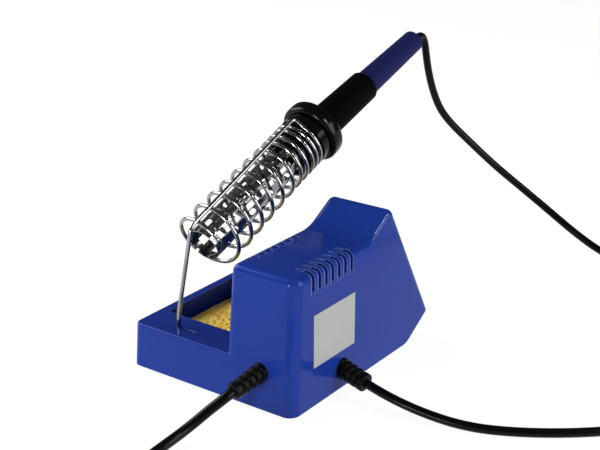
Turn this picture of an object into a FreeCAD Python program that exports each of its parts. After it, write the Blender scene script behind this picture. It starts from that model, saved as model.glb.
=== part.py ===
"""Soldering iron station: a wedge-shaped housing with a sponge tray, a coiled wire
holder, an iron in that holder, and the two leads.

The frame has +Z up and the front panel facing -Y. The origin is on the bench, in the
middle of the station's outline without its leads. Lengths are in millimetres.
"""
import FreeCAD, Part
import Sketcher
import math
import os

V = FreeCAD.Vector

# Bars of wire and lead are eight-sided, with the area of the round bar they stand for.
OCTAGON = 8
OCTAGON_REACH = math.sqrt(2 * math.pi / OCTAGON / math.sin(2 * math.pi / OCTAGON))

SIZES = {
    # housing, measured forward and up from its rear bottom edge
    "rear_face": 128.2,
    "foot_height": 2.5,
    "station_width": 120.0,
    "wall": 2.5,
    "rear_lean": 0.05,
    "top_height": 83.0,
    "crest_forward": 100.7,
    "dish_rise": 14.3,
    "dish_radius": 26.0,
    "dish_slope": 31.0,
    "front_slope": 60.5,
    "nose_height": 15.5,
    "underside_front": 121.0,
    "deck_height": 27.9,
    "tower_width": 48.0,
    "tower_lean": 0.045,
    "tray_lean": 0.042,
    "tower_room": 39.2,
    "corner_round": 7.0,
    "tray_corner_round": 5.0,
    "tower_inner_round": 4.0,
    "top_round": 4.5,
    "crest_round": 4.5,
    "nose_round": 0.8,
    "underside_round": 14.0,
    "rim_round": 1.2,
    # bottom opening and cover
    "opening_front": 118.0,
    "opening_round": 2.5,
    "plate_thickness": 2.2,
    "plate_gap": 0.25,
    "plate_vent_length": 26.0,
    "plate_vent_width": 2.4,
    "plate_vent_pitch": 6.0,
    "plate_vent_count": 5,
    # sponge well
    "well_from_tower": 6.0,
    "well_from_side": 7.5,
    "well_rear": 25.0,
    "well_front": 105.0,
    "well_floor": 8.0,
    "well_wall": 2.0,
    "well_round": 3.5,
    "sponge_gap": 1.2,
    "sponge_thickness": 9.7,
    "sponge_clearance": 0.3,
    # cooling slots over both long top edges
    "vent_first": 20.4,
    "vent_pitch": 6.3,
    "vent_count": 7,
    "vent_width": 2.4,
    "vent_depth": 1.0,
    "vent_drop": 13.0,
    "vent_reach": 11.5,
    "vent_far_reach": 8.5,
    "vent_slit": 1.2,
    "vent_slit_reach": 7.0,
    "vent_slit_drop": 11.5,
    # screws that hold the cover
    "boss_diameter": 7.0,
    "boss_inset": 3.3,
    "boss_height": 23.7,
    "pilot_diameter": 2.4,
    "pilot_depth": 12.0,
    "screw_diameter": 2.4,
    "screw_clearance": 0.3,
    "screw_length": 10.0,
    "screw_head_diameter": 5.2,
    "screw_head_height": 1.4,
    "foot_diameter": 12.0,
    "foot_inset": 15.0,
    # rating label, left blank
    "label_rear": 20.2,
    "label_front": 61.3,
    "label_bottom": 24.5,
    "label_top": 57.0,
    "label_thickness": 0.15,
    "label_round": 0.5,
    # front panel and what it carries
    "panel_height": 52.0,
    "panel_width": 35.0,
    "panel_length": 70.0,
    "panel_thickness": 1.2,
    "panel_gap": 0.2,
    "panel_ledge": 3.0,
    "panel_round": 3.0,
    "knob_up": 8.0,
    "lamp_inset": 7.0,
    "switch_inset": 13.0,
    "knob_diameter": 22.0,
    "knob_top_diameter": 18.0,
    "knob_height": 12.0,
    "knob_skirt": 3.0,
    "knob_lift": 0.5,
    "knob_edge": 1.0,
    "flute_count": 12,
    "flute_diameter": 2.6,
    "pointer_width": 1.4,
    "pointer_depth": 0.8,
    "shaft_diameter": 6.0,
    "shaft_top": 9.5,
    "shaft_gap": 0.05,
    "bush_diameter": 7.0,
    "bush_height": 3.2,
    "bush_gap": 0.1,
    "nut_flats": 10.0,
    "nut_height": 1.8,
    "nut_recess": 14.0,
    "pot_diameter": 17.0,
    "pot_height": 8.0,
    "lamp_diameter": 5.0,
    "lamp_gap": 0.05,
    "lamp_flange": 7.0,
    "lamp_dome": 1.8,
    "lamp_body": 7.0,
    "switch_width": 15.0,
    "switch_length": 21.0,
    "switch_bezel": 1.6,
    "switch_shoulder": 1.0,
    "switch_wall": 1.0,
    "switch_depth": 13.0,
    "rocker_gap": 0.35,
    "rocker_pivot_depth": 2.2,
    "rocker_rise": 4.2,
    "rocker_tilt": 10.0,
    "rocker_bottom": 5.0,
    "trunnion_radius": 1.2,
    "trunnion_gap": 0.05,
    # control board behind the panel
    "board_width": 34.0,
    "board_below_knob": 16.0,
    "board_below_crest": 14.6,
    "board_thickness": 1.6,
    # transformer on the cover
    "core_forward": 42.0,
    "core_length": 57.0,
    "core_height": 47.5,
    "core_stack": 20.0,
    "core_window": 9.5,
    "core_window_height": 28.5,
    "winding_gap": 0.3,
    "winding_overhang": 6.0,
    "strap_thickness": 1.2,
    "strap_width": 16.0,
    "strap_foot": 9.0,
    "strap_gap": 0.1,
    "strap_screw_diameter": 3.0,
    "strap_screw_head": 5.5,
    "strap_screw_head_height": 2.0,
    # strain reliefs
    "mains_gland_side": 23.5,
    "mains_gland_height": 23.0,
    "mains_gland_length": 25.0,
    "mains_gland_radius": 5.7,
    "mains_gland_droop": 13.0,
    "mains_gland_turn": 9.5,
    "iron_gland_forward": 49.0,
    "iron_gland_height": 13.0,
    "iron_gland_length": 18.0,
    "iron_gland_radius": 5.5,
    "iron_gland_droop": 12.0,
    "iron_gland_turn": 6.0,
    "gland_base": 3.0,
    "mains_gland_end": 4.7,
    "iron_gland_end": 5.1,
    "gland_ribs": 4,
    "gland_neck": 4.0,
    "gland_hole_gap": 0.25,
    "gland_head": 6.2,
    "gland_head_length": 3.0,
    "rib_depth": 1.1,
    # leads
    "mains_cord": 6.0,
    "iron_cord": 5.4,
    "coil_lift": 1.0,
    "tie_thickness": 0.9,
    "tie_width": 8.0,
    "tie_slack": 0.1,
    "coil_edge": 1.4,
    "iron_tie_angle": 200.0,
    "mains_tie_angle": 60.0,
    "mains_coil_x": -64.5,
    "mains_coil_y": 236.0,
    "mains_coil_radius": 35.0,
    "mains_coil_rows": 3,
    "iron_coil_x": -200.0,
    "iron_coil_y": -95.0,
    "iron_coil_radius": 30.0,
    "iron_coil_rows": 2,
    # two-pin mains plug
    "plug_x": -124.7,
    "plug_y": 236.3,
    "plug_heading": 225.0,
    "plug_width": 35.0,
    "plug_neck_width": 24.0,
    "plug_length": 31.0,
    "plug_shoulder": 12.0,
    "plug_thickness": 13.7,
    "plug_boot": 18.0,
    "plug_boot_radius": 5.6,
    "plug_boot_end": 4.3,
    "plug_round": 2.5,
    "pin_diameter": 4.0,
    "pin_length": 19.0,
    "pin_pitch": 18.0,
    "pin_depth": 8.0,
    # wire holder; its axis rises toward the front
    "holder_side": 30.0,
    "holder_y": 94.5,
    "holder_z": 76.2,
    "holder_lift": 23.24,
    "holder_yaw": -2.32,
    "wire_diameter": 2.6,
    "coil_start": -1.65,
    "coil_start_angle": 154.5,
    "coil_radius": 19.3,
    "coil_neck_radius": 16.2,
    "coil_pitch_open": 13.2,
    "coil_pitch_middle": 11.57,
    "coil_pitch_closing": 8.7,
    "coil_pitch_close": 6.25,
    "coil_pitch_neck": 4.35,
    "coil_turns_open": 2,
    "coil_turns_middle": 4,
    "coil_turns_closing": 1,
    "coil_turns_close": 2,
    "coil_turns_neck": 2,
    "coil_last_bend": 29.5,
    "coil_chords": 18,
    "neck_corner_x": -0.9,
    "neck_bend_radius": 3.0,
    "run_end_x": -4.4,
    "run_end_up": 21.95,
    "run_end_along": -6.8,
    "leg_bend_radius": 6.0,
    "leg_side": 28.3,
    "leg_forward": 11.3,
    "leg_upright": 8.0,
    "leg_depth": 12.5,
    "leg_gap": 0.05,
    "socket_length": 22.0,
    "socket_width": 10.0,
    "socket_depth": 14.0,
    "socket_slot_width": 1.6,
    "socket_slot_length": 12.0,
    "liner_radius": 11.0,
    "liner_wall": 0.6,
    "liner_short": 3.0,
    "window_length": 6.0,
    "window_width": 5.0,
    "window_first": 9.0,
    "window_pitch": 18.0,
    "window_rows": 5,
    "window_ring": 3,
    "window_shift": 30.0,
    "collar_grip_length": 13.3,
    "collar_neck_gap": 1.9,
    "collar_neck_length": 7.8,
    "collar_flange_length": 14.0,
    "collar_grip_gap": 0.1,
    "collar_neck_radius": 17.3,
    "collar_flange_radius": 20.6,
    "collar_mouth_radius": 13.6,
    "collar_throat_radius": 11.7,
    "collar_chamfer": 2.0,
    "liner_gap": 0.05,
    # iron, measured along its own axis from the middle of its grip
    "iron_side": 35.4,
    "iron_y": -37.9,
    "iron_z": 129.8,
    "iron_lift": 19.14,
    "handle_front": -28.0,
    "handle_core_radius": 8.2,
    "handle_radius": 8.7,
    "handle_end_radius": 7.5,
    "handle_end": 94.0,
    "handle_chamfer": 1.8,
    "handle_bore": 6.4,
    "handle_cord_gap": 0.1,
    "handle_end_wall": 6.0,
    "grip_front": -29.0,
    "grip_step": -18.0,
    "grip_front_radius": 9.1,
    "grip_radius": 11.35,
    "grip_rear_radius": 10.5,
    "grip_rear": 31.8,
    "grip_chamfer": 1.4,
    "grip_gap": 0.05,
    "nose_length": 6.0,
    "nose_radius": 8.2,
    "nose_front_radius": 5.2,
    "nose_spigot": 5.0,
    "barrel_radius": 3.25,
    "barrel_wall": 0.4,
    "barrel_front": -99.0,
    "barrel_rear": -21.0,
    "barrel_flare": 1.2,
    "barrel_gap": 0.05,
    "heater_radius": 2.2,
    "heater_front": -86.0,
    "heater_rear": -20.0,
    "tip_shank_radius": 2.8,
    "tip_shank_rear": -92.0,
    "tip_shoulder_radius": 2.5,
    "tip_cone_start": -104.0,
    "tip_front": -113.0,
    "tip_end_radius": 0.5,
    "tip_nut_radius": 4.6,
    "tip_nut_length": 7.0,
    "tip_nut_front": -101.0,
}


class Dim:
    """A size kept as a number and as the expression that ties it to the sheet."""

    def __init__(self, value, text=None):
        self.value = float(value)
        self.text = text or f"({self.value})"

    def __add__(self, other):
        other = dim(other)
        return Dim(self.value + other.value, f"({self.text} + {other.text})")

    def __radd__(self, other):
        return dim(other) + self

    def __sub__(self, other):
        other = dim(other)
        return Dim(self.value - other.value, f"({self.text} - {other.text})")

    def __rsub__(self, other):
        return dim(other) - self

    def __mul__(self, other):
        other = dim(other)
        return Dim(self.value * other.value, f"({self.text} * {other.text})")

    def __rmul__(self, other):
        return dim(other) * self

    def __truediv__(self, other):
        other = dim(other)
        return Dim(self.value / other.value, f"({self.text} / {other.text})")

    def __rtruediv__(self, other):
        return dim(other) / self

    def __neg__(self):
        return dim(0) - self


def dim(value):
    """The value itself if it is a Dim, or a Dim that holds a plain number."""
    return value if isinstance(value, Dim) else Dim(value)


def sine(angle):
    return Dim(math.sin(math.radians(angle.value)), f"sin({angle.text})")


def cosine(angle):
    return Dim(math.cos(math.radians(angle.value)), f"cos({angle.text})")


def tangent(angle):
    return Dim(math.tan(math.radians(angle.value)), f"tan({angle.text})")


def root(number):
    return Dim(math.sqrt(number.value), f"sqrt({number.text})")


class Sheet:
    """The spreadsheet of driving sizes; each attribute is one of them as a Dim."""

    def __init__(self, document, sizes):
        sheet = document.addObject("Spreadsheet::Sheet", "Sizes")
        for row, (alias, value) in enumerate(sizes.items(), start=1):
            sheet.set(f"A{row}", alias)
            sheet.set(f"B{row}", str(value))
            sheet.setAlias(f"B{row}", alias)
            setattr(self, alias, Dim(value, f"Sizes.{alias}"))
        document.recompute()


doc = FreeCAD.newDocument("soldering_station")
S = Sheet(doc, SIZES)
nodes = []


# ---------------------------------------------------------------- drawing helpers

def placement_text(at, turn):
    """Expression for a placement at a point, turned by yaw, pitch and roll."""
    x, y, z = (dim(value).text for value in at)
    yaw, pitch, roll = (dim(value).text for value in turn)
    return f"placement(vector({x}; {y}; {z}); rotation({yaw}; {pitch}; {roll}))"


def keep(thing, name):
    """Register a sub-part under the name of its node."""
    thing.Label = name
    nodes.append(thing)
    return thing


def new_body(name, at=(0, 0, 0), turn=(0, 0, 0), separate=False):
    """A body for one node; separate lets it hold several solids."""
    body = doc.addObject("PartDesign::Body", name)
    body.AllowCompound = separate
    body.setExpression("Placement", placement_text(at, turn))
    return keep(body, name)


def sketch_on(body, name, role, at=(0, 0, 0), turn=(0, 0, 0)):
    """An empty sketch on one of the body's origin planes."""
    sketch = body.newObject("Sketcher::SketchObject", name)
    plane = next(item for item in body.Origin.OriginFeatures if item.Role == role)
    sketch.AttachmentSupport = [(plane, "")]
    sketch.MapMode = "FlatFace"
    sketch.setExpression("AttachmentOffset", placement_text(at, turn))
    return sketch


def tie(sketch, constraint, size):
    """Add a constraint and bind its value to a size."""
    number = sketch.addConstraint(constraint)
    sketch.setExpression(f"Constraints[{number}]", size.text)


def hold(sketch, geometry, end, point):
    """Hold one point of a geometry at its two coordinates."""
    for kind, size in zip(("DistanceX", "DistanceY"), point):
        tie(sketch, Sketcher.Constraint(kind, geometry, end, size.value), size)


def arc_between(start, stop, radius, side):
    """Arc shorter than a half circle, its centre left (1) or right (-1) of the way."""
    chord = stop - start
    rise = math.sqrt(radius ** 2 - (chord.Length / 2) ** 2)
    left = V(-chord.y, chord.x, 0).normalize()
    centre = (start + stop) / 2 + left * (side * rise)
    ends = (start, stop) if side > 0 else (stop, start)
    angles = [math.atan2(end.y - centre.y, end.x - centre.x) for end in ends]
    return Part.ArcOfCircle(Part.Circle(centre, V(0, 0, 1), radius), *angles)


def outline(sketch, corners, arcs=None):
    """Closed outline; arcs maps the number of a side to its radius and centre side."""
    arcs = arcs or {}
    corners = [(dim(x), dim(y)) for x, y in corners]
    points = [V(x.value, y.value, 0) for x, y in corners]
    sides = []
    for number, start in enumerate(points):
        stop = points[(number + 1) % len(points)]
        if number in arcs:
            radius, side = arcs[number]
            shape = arc_between(start, stop, dim(radius).value, side)
        else:
            side = 1
            shape = Part.LineSegment(start, stop)
        ends = (1, 2) if side > 0 else (2, 1)
        sides.append((sketch.addGeometry(shape, False), *ends))
    for number, (geometry, entry, leave) in enumerate(sides):
        following, start_end, _ = sides[(number + 1) % len(sides)]
        sketch.addConstraint(Sketcher.Constraint("Coincident", geometry, leave, following, start_end))
        hold(sketch, geometry, entry, corners[number])
        if number in arcs:
            radius = dim(arcs[number][0])
            tie(sketch, Sketcher.Constraint("Radius", geometry, radius.value), radius)


def rectangle(sketch, left, bottom, right, top):
    outline(sketch, [(left, bottom), (right, bottom), (right, top), (left, top)])


def rounded_rectangle(sketch, left, bottom, right, top, radius):
    """Rectangle with four round corners."""
    corners = [
        (left + radius, bottom), (right - radius, bottom), (right, bottom + radius),
        (right, top - radius), (right - radius, top), (left + radius, top),
        (left, top - radius), (left, bottom + radius),
    ]
    outline(sketch, corners, {side: (radius, 1) for side in (1, 3, 5, 7)})


def circle(sketch, x, y, radius):
    x, y, radius = dim(x), dim(y), dim(radius)
    shape = Part.Circle(V(x.value, y.value, 0), V(0, 0, 1), radius.value)
    geometry = sketch.addGeometry(shape, False)
    hold(sketch, geometry, 3, (x, y))
    tie(sketch, Sketcher.Constraint("Radius", geometry, radius.value), radius)


# ---------------------------------------------------------------- feature helpers

def straight(body, kind, sketch, length, both_ways=False, reverse=False):
    """A Pad or a Pocket of a sketch."""
    feature = body.newObject(f"PartDesign::{kind}", sketch.Name + "_" + kind.lower())
    feature.Profile = sketch
    feature.setExpression("Length", dim(length).text)
    if both_ways:
        feature.SideType = "Symmetric"
    feature.Reversed = reverse
    return feature


def pad(body, sketch, length, **options):
    return straight(body, "Pad", sketch, length, **options)


def pocket(body, sketch, length, **options):
    return straight(body, "Pocket", sketch, length, **options)


def revolve(body, sketch, axis="V_Axis"):
    """A full turn of a sketch about its own vertical or horizontal axis."""
    feature = body.newObject("PartDesign::Revolution", sketch.Name + "_turn")
    feature.Profile = sketch
    feature.ReferenceAxis = (sketch, [axis])
    feature.Angle = 360
    return feature


def origin_axis(body, role):
    return next(item for item in body.Origin.OriginFeatures if item.Role == role)


def repeat(body, feature, role, span, count):
    """Copies of a feature evenly along one of the body's axes."""
    pattern = body.newObject("PartDesign::LinearPattern", feature.Name + "_row")
    pattern.Originals = [feature]
    pattern.Direction = (origin_axis(body, role), [""])
    pattern.setExpression("Length", dim(span).text)
    pattern.setExpression("Occurrences", dim(count).text)
    body.Tip = pattern
    return pattern


def spin(body, feature, angle, count):
    """Copies of a feature evenly round the body's Z axis."""
    pattern = body.newObject("PartDesign::PolarPattern", feature.Name + "_ring")
    pattern.Originals = [feature]
    pattern.Axis = (origin_axis(body, "Z_Axis"), [""])
    pattern.setExpression("Angle", dim(angle).text)
    pattern.setExpression("Occurrences", dim(count).text)
    body.Tip = pattern
    return pattern


def ease(body, name, radius, chosen, kind="Fillet"):
    """Fillet or chamfer the tip's edges whose middle point and ends pass a test."""
    doc.recompute()
    base = body.Tip
    names = []
    for number, edge in enumerate(base.Shape.Edges, start=1):
        first, last = edge.FirstParameter, edge.LastParameter
        middle = edge.valueAt((first + last) / 2)
        if chosen(middle, edge.valueAt(first), edge.valueAt(last)):
            names.append(f"Edge{number}")
    feature = body.newObject(f"PartDesign::{kind}", name)
    feature.Base = (base, names)
    feature.setExpression("Radius" if kind == "Fillet" else "Size", dim(radius).text)
    return feature


def turned(name, profile, arcs=None, at=(0, 0, 0), turn=(0, 0, 0)):
    """A node turned about its own Z axis from a half section of radius and height."""
    body = new_body(name, at, turn)
    sketch = sketch_on(body, name + "_section", "XZ_Plane")
    outline(sketch, profile, arcs)
    revolve(body, sketch)
    return body


def near(first, second):
    """Whether two lengths are the same within a hair."""
    return abs(first - second) < 0.02


# ---------------------------------------------------------------- station geometry

STATION = (0, S.rear_face, S.foot_height)
half_width = S.station_width / 2
crest_height = S.top_height + S.dish_rise
dish_turn = (sine(S.dish_slope), cosine(S.dish_slope))
dish_run = (S.dish_rise - S.dish_radius * (1 - dish_turn[1])) / tangent(S.dish_slope)
dish_start = S.crest_forward - dish_run - S.dish_radius * dish_turn[0]
nose_forward = S.crest_forward + (crest_height - S.nose_height) / tangent(S.front_slope)
panel_lean = 90 - S.front_slope
tower_side = S.tower_width - half_width
tower_left = -half_width
panel_x = S.tower_width / 2 - half_width
slope_up = (crest_height - S.panel_height) / sine(S.front_slope)
lamp_up = S.panel_length / 2 - S.lamp_inset
switch_up = S.switch_inset - S.panel_length / 2
panel_forward = S.crest_forward + (crest_height - S.panel_height) / tangent(S.front_slope)
PANEL_TURN = (0, 0, S.front_slope)


def on_panel(up, out, x=0):
    """Point in the station's frame, up the front slope and out from it."""
    forward = panel_forward - sine(panel_lean) * up + cosine(panel_lean) * out
    height = S.panel_height + cosine(panel_lean) * up + sine(panel_lean) * out
    return (panel_x + x, S.rear_face - forward, S.foot_height + height)


def underside_turn():
    """Sine and cosine of the slope from the bottom up to the nose."""
    run = nose_forward - S.underside_front
    length = root(run * run + S.nose_height * S.nose_height)
    return S.nose_height / length, run / length


def cavity_section(sketch, top):
    """Half of the room inside the housing, one wall in from its outside."""
    inward = (sine(S.front_slope), cosine(S.front_slope))
    rise, run = underside_turn()
    below = (rise, -run)
    share = S.wall / (1 + inward[0] * below[0] + inward[1] * below[1])
    nose = (
        -nose_forward + share * (inward[0] + below[0]),
        S.nose_height - share * (inward[1] + below[1]),
    )
    rear = -S.wall
    start = [(rear, -S.wall), (rear, 0), (rear - S.rear_lean * top, top)]
    arcs = {}
    if top is tower_ceiling:
        outer = S.dish_radius + S.wall
        bend = (
            dish_start + outer * dish_turn[0],
            S.top_height + S.dish_radius - outer * dish_turn[1],
        )
        out = (
            inward[0] * (nose_forward - bend[0]) + inward[1] * (S.nose_height - bend[1]) - S.wall
        ) / (inward[0] * dish_turn[1] + inward[1] * dish_turn[0])
        start += [
            (-dish_start, top), (-bend[0], bend[1]),
            (-bend[0] - out * dish_turn[1], bend[1] + out * dish_turn[0]),
        ]
        arcs = {3: (outer, -1)}
    else:
        fall = (top - nose[1]) / tangent(S.front_slope)
        start += [(nose[0] + fall, top)]
    end = [nose, (-S.opening_front, S.plate_thickness), (-S.opening_front, -S.wall)]
    outline(sketch, start + end, arcs)


tower_ceiling = S.top_height - S.wall
tray_ceiling = S.deck_height - S.wall
mains_gland_x = S.mains_gland_side - half_width
tray_side = half_width - S.tray_lean * S.deck_height
tray_cavity_side = tray_side - S.wall
tower_cavity_left = tower_left + S.wall
tower_cavity_right = tower_cavity_left + S.tower_room
well_left = tower_side + S.well_from_tower
well_right = half_width - S.well_from_side
leg_x = half_width - S.leg_side
core_x = tower_cavity_left + S.tower_room / 2
boss_places = [
    (side, forward)
    for side in (tower_cavity_left + S.boss_inset, tray_cavity_side - S.boss_inset)
    for forward in (S.wall + S.boss_inset, S.opening_front - S.boss_inset)
]


# ---------------------------------------------------------------- housing

def upper_housing():
    """One moulding: tall wedge at the left, sponge tray at the right."""
    body = new_body("upper_housing", STATION)

    under = underside_turn()
    bend = S.underside_round * under[0] / (1 + under[1])
    side = sketch_on(body, "side_profile", "YZ_Plane")
    outline(side, [
        (0, 0), (-S.rear_lean * S.top_height, S.top_height), (-dish_start, S.top_height),
        (dish_run - S.crest_forward, crest_height - dish_run * tangent(S.dish_slope)),
        (-S.crest_forward, crest_height), (-nose_forward, S.nose_height),
        (-S.underside_front - bend * under[1], bend * under[0]), (bend - S.underside_front, 0),
    ], {2: (S.dish_radius, -1), 6: (S.underside_round, 1)})
    pad(body, side, S.station_width, both_ways=True)

    above = crest_height + S.wall
    step = sketch_on(body, "tray_step", "XZ_Plane")
    outline(step, [
        (tower_side, S.deck_height), (tray_side, S.deck_height),
        (half_width + S.tray_lean * S.wall, -S.wall), (half_width + S.wall, -S.wall),
        (half_width + S.wall, above),
        (tower_side - S.tower_lean * (above - S.deck_height), above),
    ])
    pocket(body, step, 2 * (nose_forward + S.wall), both_ways=True)
    soften_housing(body)
    soften_tray(body)
    hollow_housing(body)
    fit_housing(body)
    return body


def soften_housing(body):
    """Round the moulding's outside edges."""
    deck = S.deck_height.value
    left = -half_width.value
    right = half_width.value
    tower = tower_side.value

    def upright(middle, first, last):
        return middle.y > -S.rear_lean.value * middle.z - 0.1 and abs(first.z - last.z) > 10

    ease(body, "label_corner", S.corner_round,
         lambda m, a, b: upright(m, a, b) and near(m.x, left))
    ease(body, "tray_corner", S.tray_corner_round,
         lambda m, a, b: upright(m, a, b) and m.x > right - 3)
    ease(body, "tower_corner", S.tower_inner_round,
         lambda m, a, b: upright(m, a, b) and tower - 5 < m.x < tower + 1)

    ease(body, "crest", S.crest_round,
         lambda m, a, b: near(m.y, -S.crest_forward.value) and near(a.z, b.z) and m.z > deck)
    ease(body, "tower_edges", S.top_round,
         lambda m, a, b: m.x < tower and min(a.z, b.z) > deck - 0.1 and tower_rim(a, b))


def soften_tray(body):
    """Round the tray's rim and the nose."""
    deck = S.deck_height.value
    tower = tower_side.value
    ease(body, "nose", S.nose_round,
         lambda m, a, b: near(m.z, S.nose_height.value) and near(a.z, b.z))
    ease(body, "tray_rim", S.rim_round,
         lambda m, a, b: near(a.z, deck) and near(b.z, deck) and m.x > tower + 3)


def tower_rim(first, last):
    """Whether an edge runs round the top or down the front of the tall part."""
    return max(first.z, last.z) > S.top_height.value - 1


def hollow_housing(body):
    """Open the inside from below and add the well, the leg's socket and the bosses."""
    tower = sketch_on(body, "tower_cavity", "YZ_Plane",
                      at=(0, 0, (tower_cavity_left + tower_cavity_right) / 2))
    cavity_section(tower, tower_ceiling)
    pocket(body, tower, tower_cavity_right - tower_cavity_left, both_ways=True)

    overlap = tower_cavity_right - S.wall
    tray = sketch_on(body, "tray_cavity", "YZ_Plane", at=(0, 0, (overlap + tray_cavity_side) / 2))
    cavity_section(tray, tray_ceiling)
    pocket(body, tray, tray_cavity_side - overlap, both_ways=True)

    bottom = S.well_floor - S.well_wall
    well = sketch_on(body, "well_walls", "XY_Plane", at=(0, 0, bottom))
    rectangle(well, well_left - S.well_wall, -S.well_front - S.well_wall,
              well_right + S.well_wall, -S.well_rear + S.well_wall)
    pad(body, well, tray_ceiling - bottom + S.wall / 2)

    socket = sketch_on(body, "leg_socket", "XY_Plane", at=(0, 0, tray_ceiling - S.socket_depth))
    rectangle(socket, leg_x - S.socket_length / 2, -S.leg_forward - S.socket_width / 2,
              leg_x + S.socket_length / 2, -S.leg_forward + S.socket_width / 2)
    pad(body, socket, S.socket_depth + S.wall / 2)

    bosses = sketch_on(body, "screw_bosses", "XY_Plane", at=(0, 0, S.plate_thickness))
    for x, forward in boss_places:
        circle(bosses, x, -forward, S.boss_diameter / 2)
    pad(body, bosses, S.boss_height)


def fit_housing(body):
    """Cut every opening that another piece goes through or sits in."""
    well = sketch_on(body, "sponge_well", "XY_Plane", at=(0, 0, S.deck_height))
    rounded_rectangle(well, well_left, -S.well_front, well_right, -S.well_rear, S.well_round)
    pocket(body, well, S.deck_height - S.well_floor)

    leg = sketch_on(body, "leg_hole", "XY_Plane", at=(0, 0, S.deck_height))
    circle(leg, leg_x, -S.leg_forward, S.wire_diameter / 2 + S.leg_gap)
    pocket(body, leg, S.leg_depth)
    slot = sketch_on(body, "leg_slot", "XY_Plane", at=(0, 0, S.deck_height))
    rectangle(slot, leg_x - S.socket_slot_length, -S.leg_forward - S.socket_slot_width / 2,
              leg_x - S.wire_diameter / 2 - S.leg_gap - S.socket_slot_width / 2,
              -S.leg_forward + S.socket_slot_width / 2)
    pocket(body, slot, S.wall * 2)

    pilots = sketch_on(body, "pilot_holes", "XY_Plane", at=(0, 0, S.plate_thickness))
    for x, forward in boss_places:
        circle(pilots, x, -forward, S.pilot_diameter / 2)
    pocket(body, pilots, S.pilot_depth, reverse=True)

    rear = sketch_on(body, "mains_hole", "XZ_Plane")
    circle(rear, mains_gland_x, S.mains_gland_height, S.gland_neck + S.gland_hole_gap)
    pocket(body, rear, 4 * S.wall, both_ways=True)
    side = sketch_on(body, "iron_hole", "YZ_Plane", at=(0, 0, -half_width))
    circle(side, -S.iron_gland_forward, S.iron_gland_height, S.gland_neck + S.gland_hole_gap)
    pocket(body, side, 3 * S.wall, both_ways=True)

    face = (panel_x, S.panel_height, panel_forward)
    recess = sketch_on(body, "panel_recess", "XZ_Plane", face, (0, 0, -panel_lean))
    rounded_rectangle(recess, -S.panel_width / 2 - S.panel_gap, -S.panel_length / 2 - S.panel_gap,
                      S.panel_width / 2 + S.panel_gap, S.panel_length / 2 + S.panel_gap,
                      S.panel_round)
    pocket(body, recess, S.panel_thickness)
    window = sketch_on(body, "panel_window", "XZ_Plane", face, (0, 0, -panel_lean))
    rectangle(window, S.panel_ledge - S.panel_width / 2, S.panel_ledge - S.panel_length / 2,
              S.panel_width / 2 - S.panel_ledge, S.panel_length / 2 - S.panel_ledge)
    pocket(body, window, 2 * S.wall)

    cut_vents(body)


def vent_section(sketch, edge, inward, lean, depth, reach, drop):
    """Band over a long top edge: along the top, round the edge and down the side."""
    top = S.top_height
    outside = S.wall
    round_end = top - S.top_round
    foot = top - drop
    outline(sketch, [
        (edge + inward * reach, top + outside), (edge + inward * (reach - depth), top - depth),
        (edge + inward * S.top_round, top - depth),
        (edge + inward * depth + lean * S.top_round, round_end),
        (edge + inward * depth + lean * drop, foot + depth),
        (edge - inward * outside + lean * drop, foot - outside),
        (edge - inward * outside, top + outside),
    ], {2: (S.top_round - depth, inward)})


def cut_vents(body):
    """Grooves over both long top edges, each with a slit through the wall behind it."""
    high = S.top_height - S.deck_height
    run = S.vent_pitch * (S.vent_count - 1)
    sides = (
        ("left", tower_left, 1, dim(0), S.vent_reach),
        ("right", tower_side - S.tower_lean * high, -1, S.tower_lean, S.vent_far_reach),
    )
    for side, edge, inward, lean, reach in sides:
        groove = sketch_on(body, side + "_grooves", "XZ_Plane", at=(0, 0, S.vent_first))
        vent_section(groove, edge, inward, lean, S.vent_depth, reach, S.vent_drop)
        cut = pocket(body, groove, S.vent_width)
        repeat(body, cut, "Y_Axis", run, S.vent_count).Reversed = True
        slit = sketch_on(body, side + "_slits", "XZ_Plane",
                         at=(0, 0, S.vent_first + (S.vent_width - S.vent_slit) / 2))
        ends = sorted((edge - inward * S.wall, edge + inward * S.vent_slit_reach),
                      key=lambda end: end.value)
        rectangle(slit, ends[0], S.top_height - S.vent_slit_drop, ends[1],
                  S.top_height + S.wall)
        cut = pocket(body, slit, S.vent_slit)
        repeat(body, cut, "Y_Axis", run, S.vent_count).Reversed = True


# ---------------------------------------------------------------- cover and its fixings

def base_plate():
    """Bottom cover, flush in the housing's opening."""
    body = new_body("base_plate", STATION)
    left = tower_cavity_left + S.plate_gap
    right = tray_cavity_side - S.plate_gap
    rear = -S.wall - S.plate_gap
    front = -S.opening_front + S.plate_gap
    sheet = sketch_on(body, "cover", "XY_Plane")
    rounded_rectangle(sheet, left, front, right, rear, S.opening_round)
    pad(body, sheet, S.plate_thickness)

    holes = sketch_on(body, "screw_holes", "XY_Plane", at=(0, 0, S.plate_thickness))
    for x, forward in boss_places:
        circle(holes, x, -forward, S.screw_diameter / 2 + S.screw_clearance)
    for forward in strap_screws:
        circle(holes, core_x, -forward, S.strap_screw_diameter / 2)
    pocket(body, holes, S.plate_thickness)
    heads = sketch_on(body, "head_recesses", "XY_Plane", at=(0, 0, S.screw_head_height))
    for x, forward in boss_places:
        circle(heads, x, -forward, S.screw_head_diameter / 2 + S.screw_clearance)
    pocket(body, heads, S.screw_head_height)

    slot = sketch_on(body, "air_slot", "XY_Plane", at=(0, 0, S.plate_thickness))
    rear_slot = -S.core_forward + S.core_length / 4
    rectangle(slot, core_x + S.core_stack, rear_slot - S.plate_vent_width,
              core_x + S.core_stack + S.plate_vent_length, rear_slot)
    cut = pocket(body, slot, S.plate_thickness)
    row = repeat(body, cut, "Y_Axis", S.plate_vent_pitch * (S.plate_vent_count - 1),
                 S.plate_vent_count)
    row.Reversed = True


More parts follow.
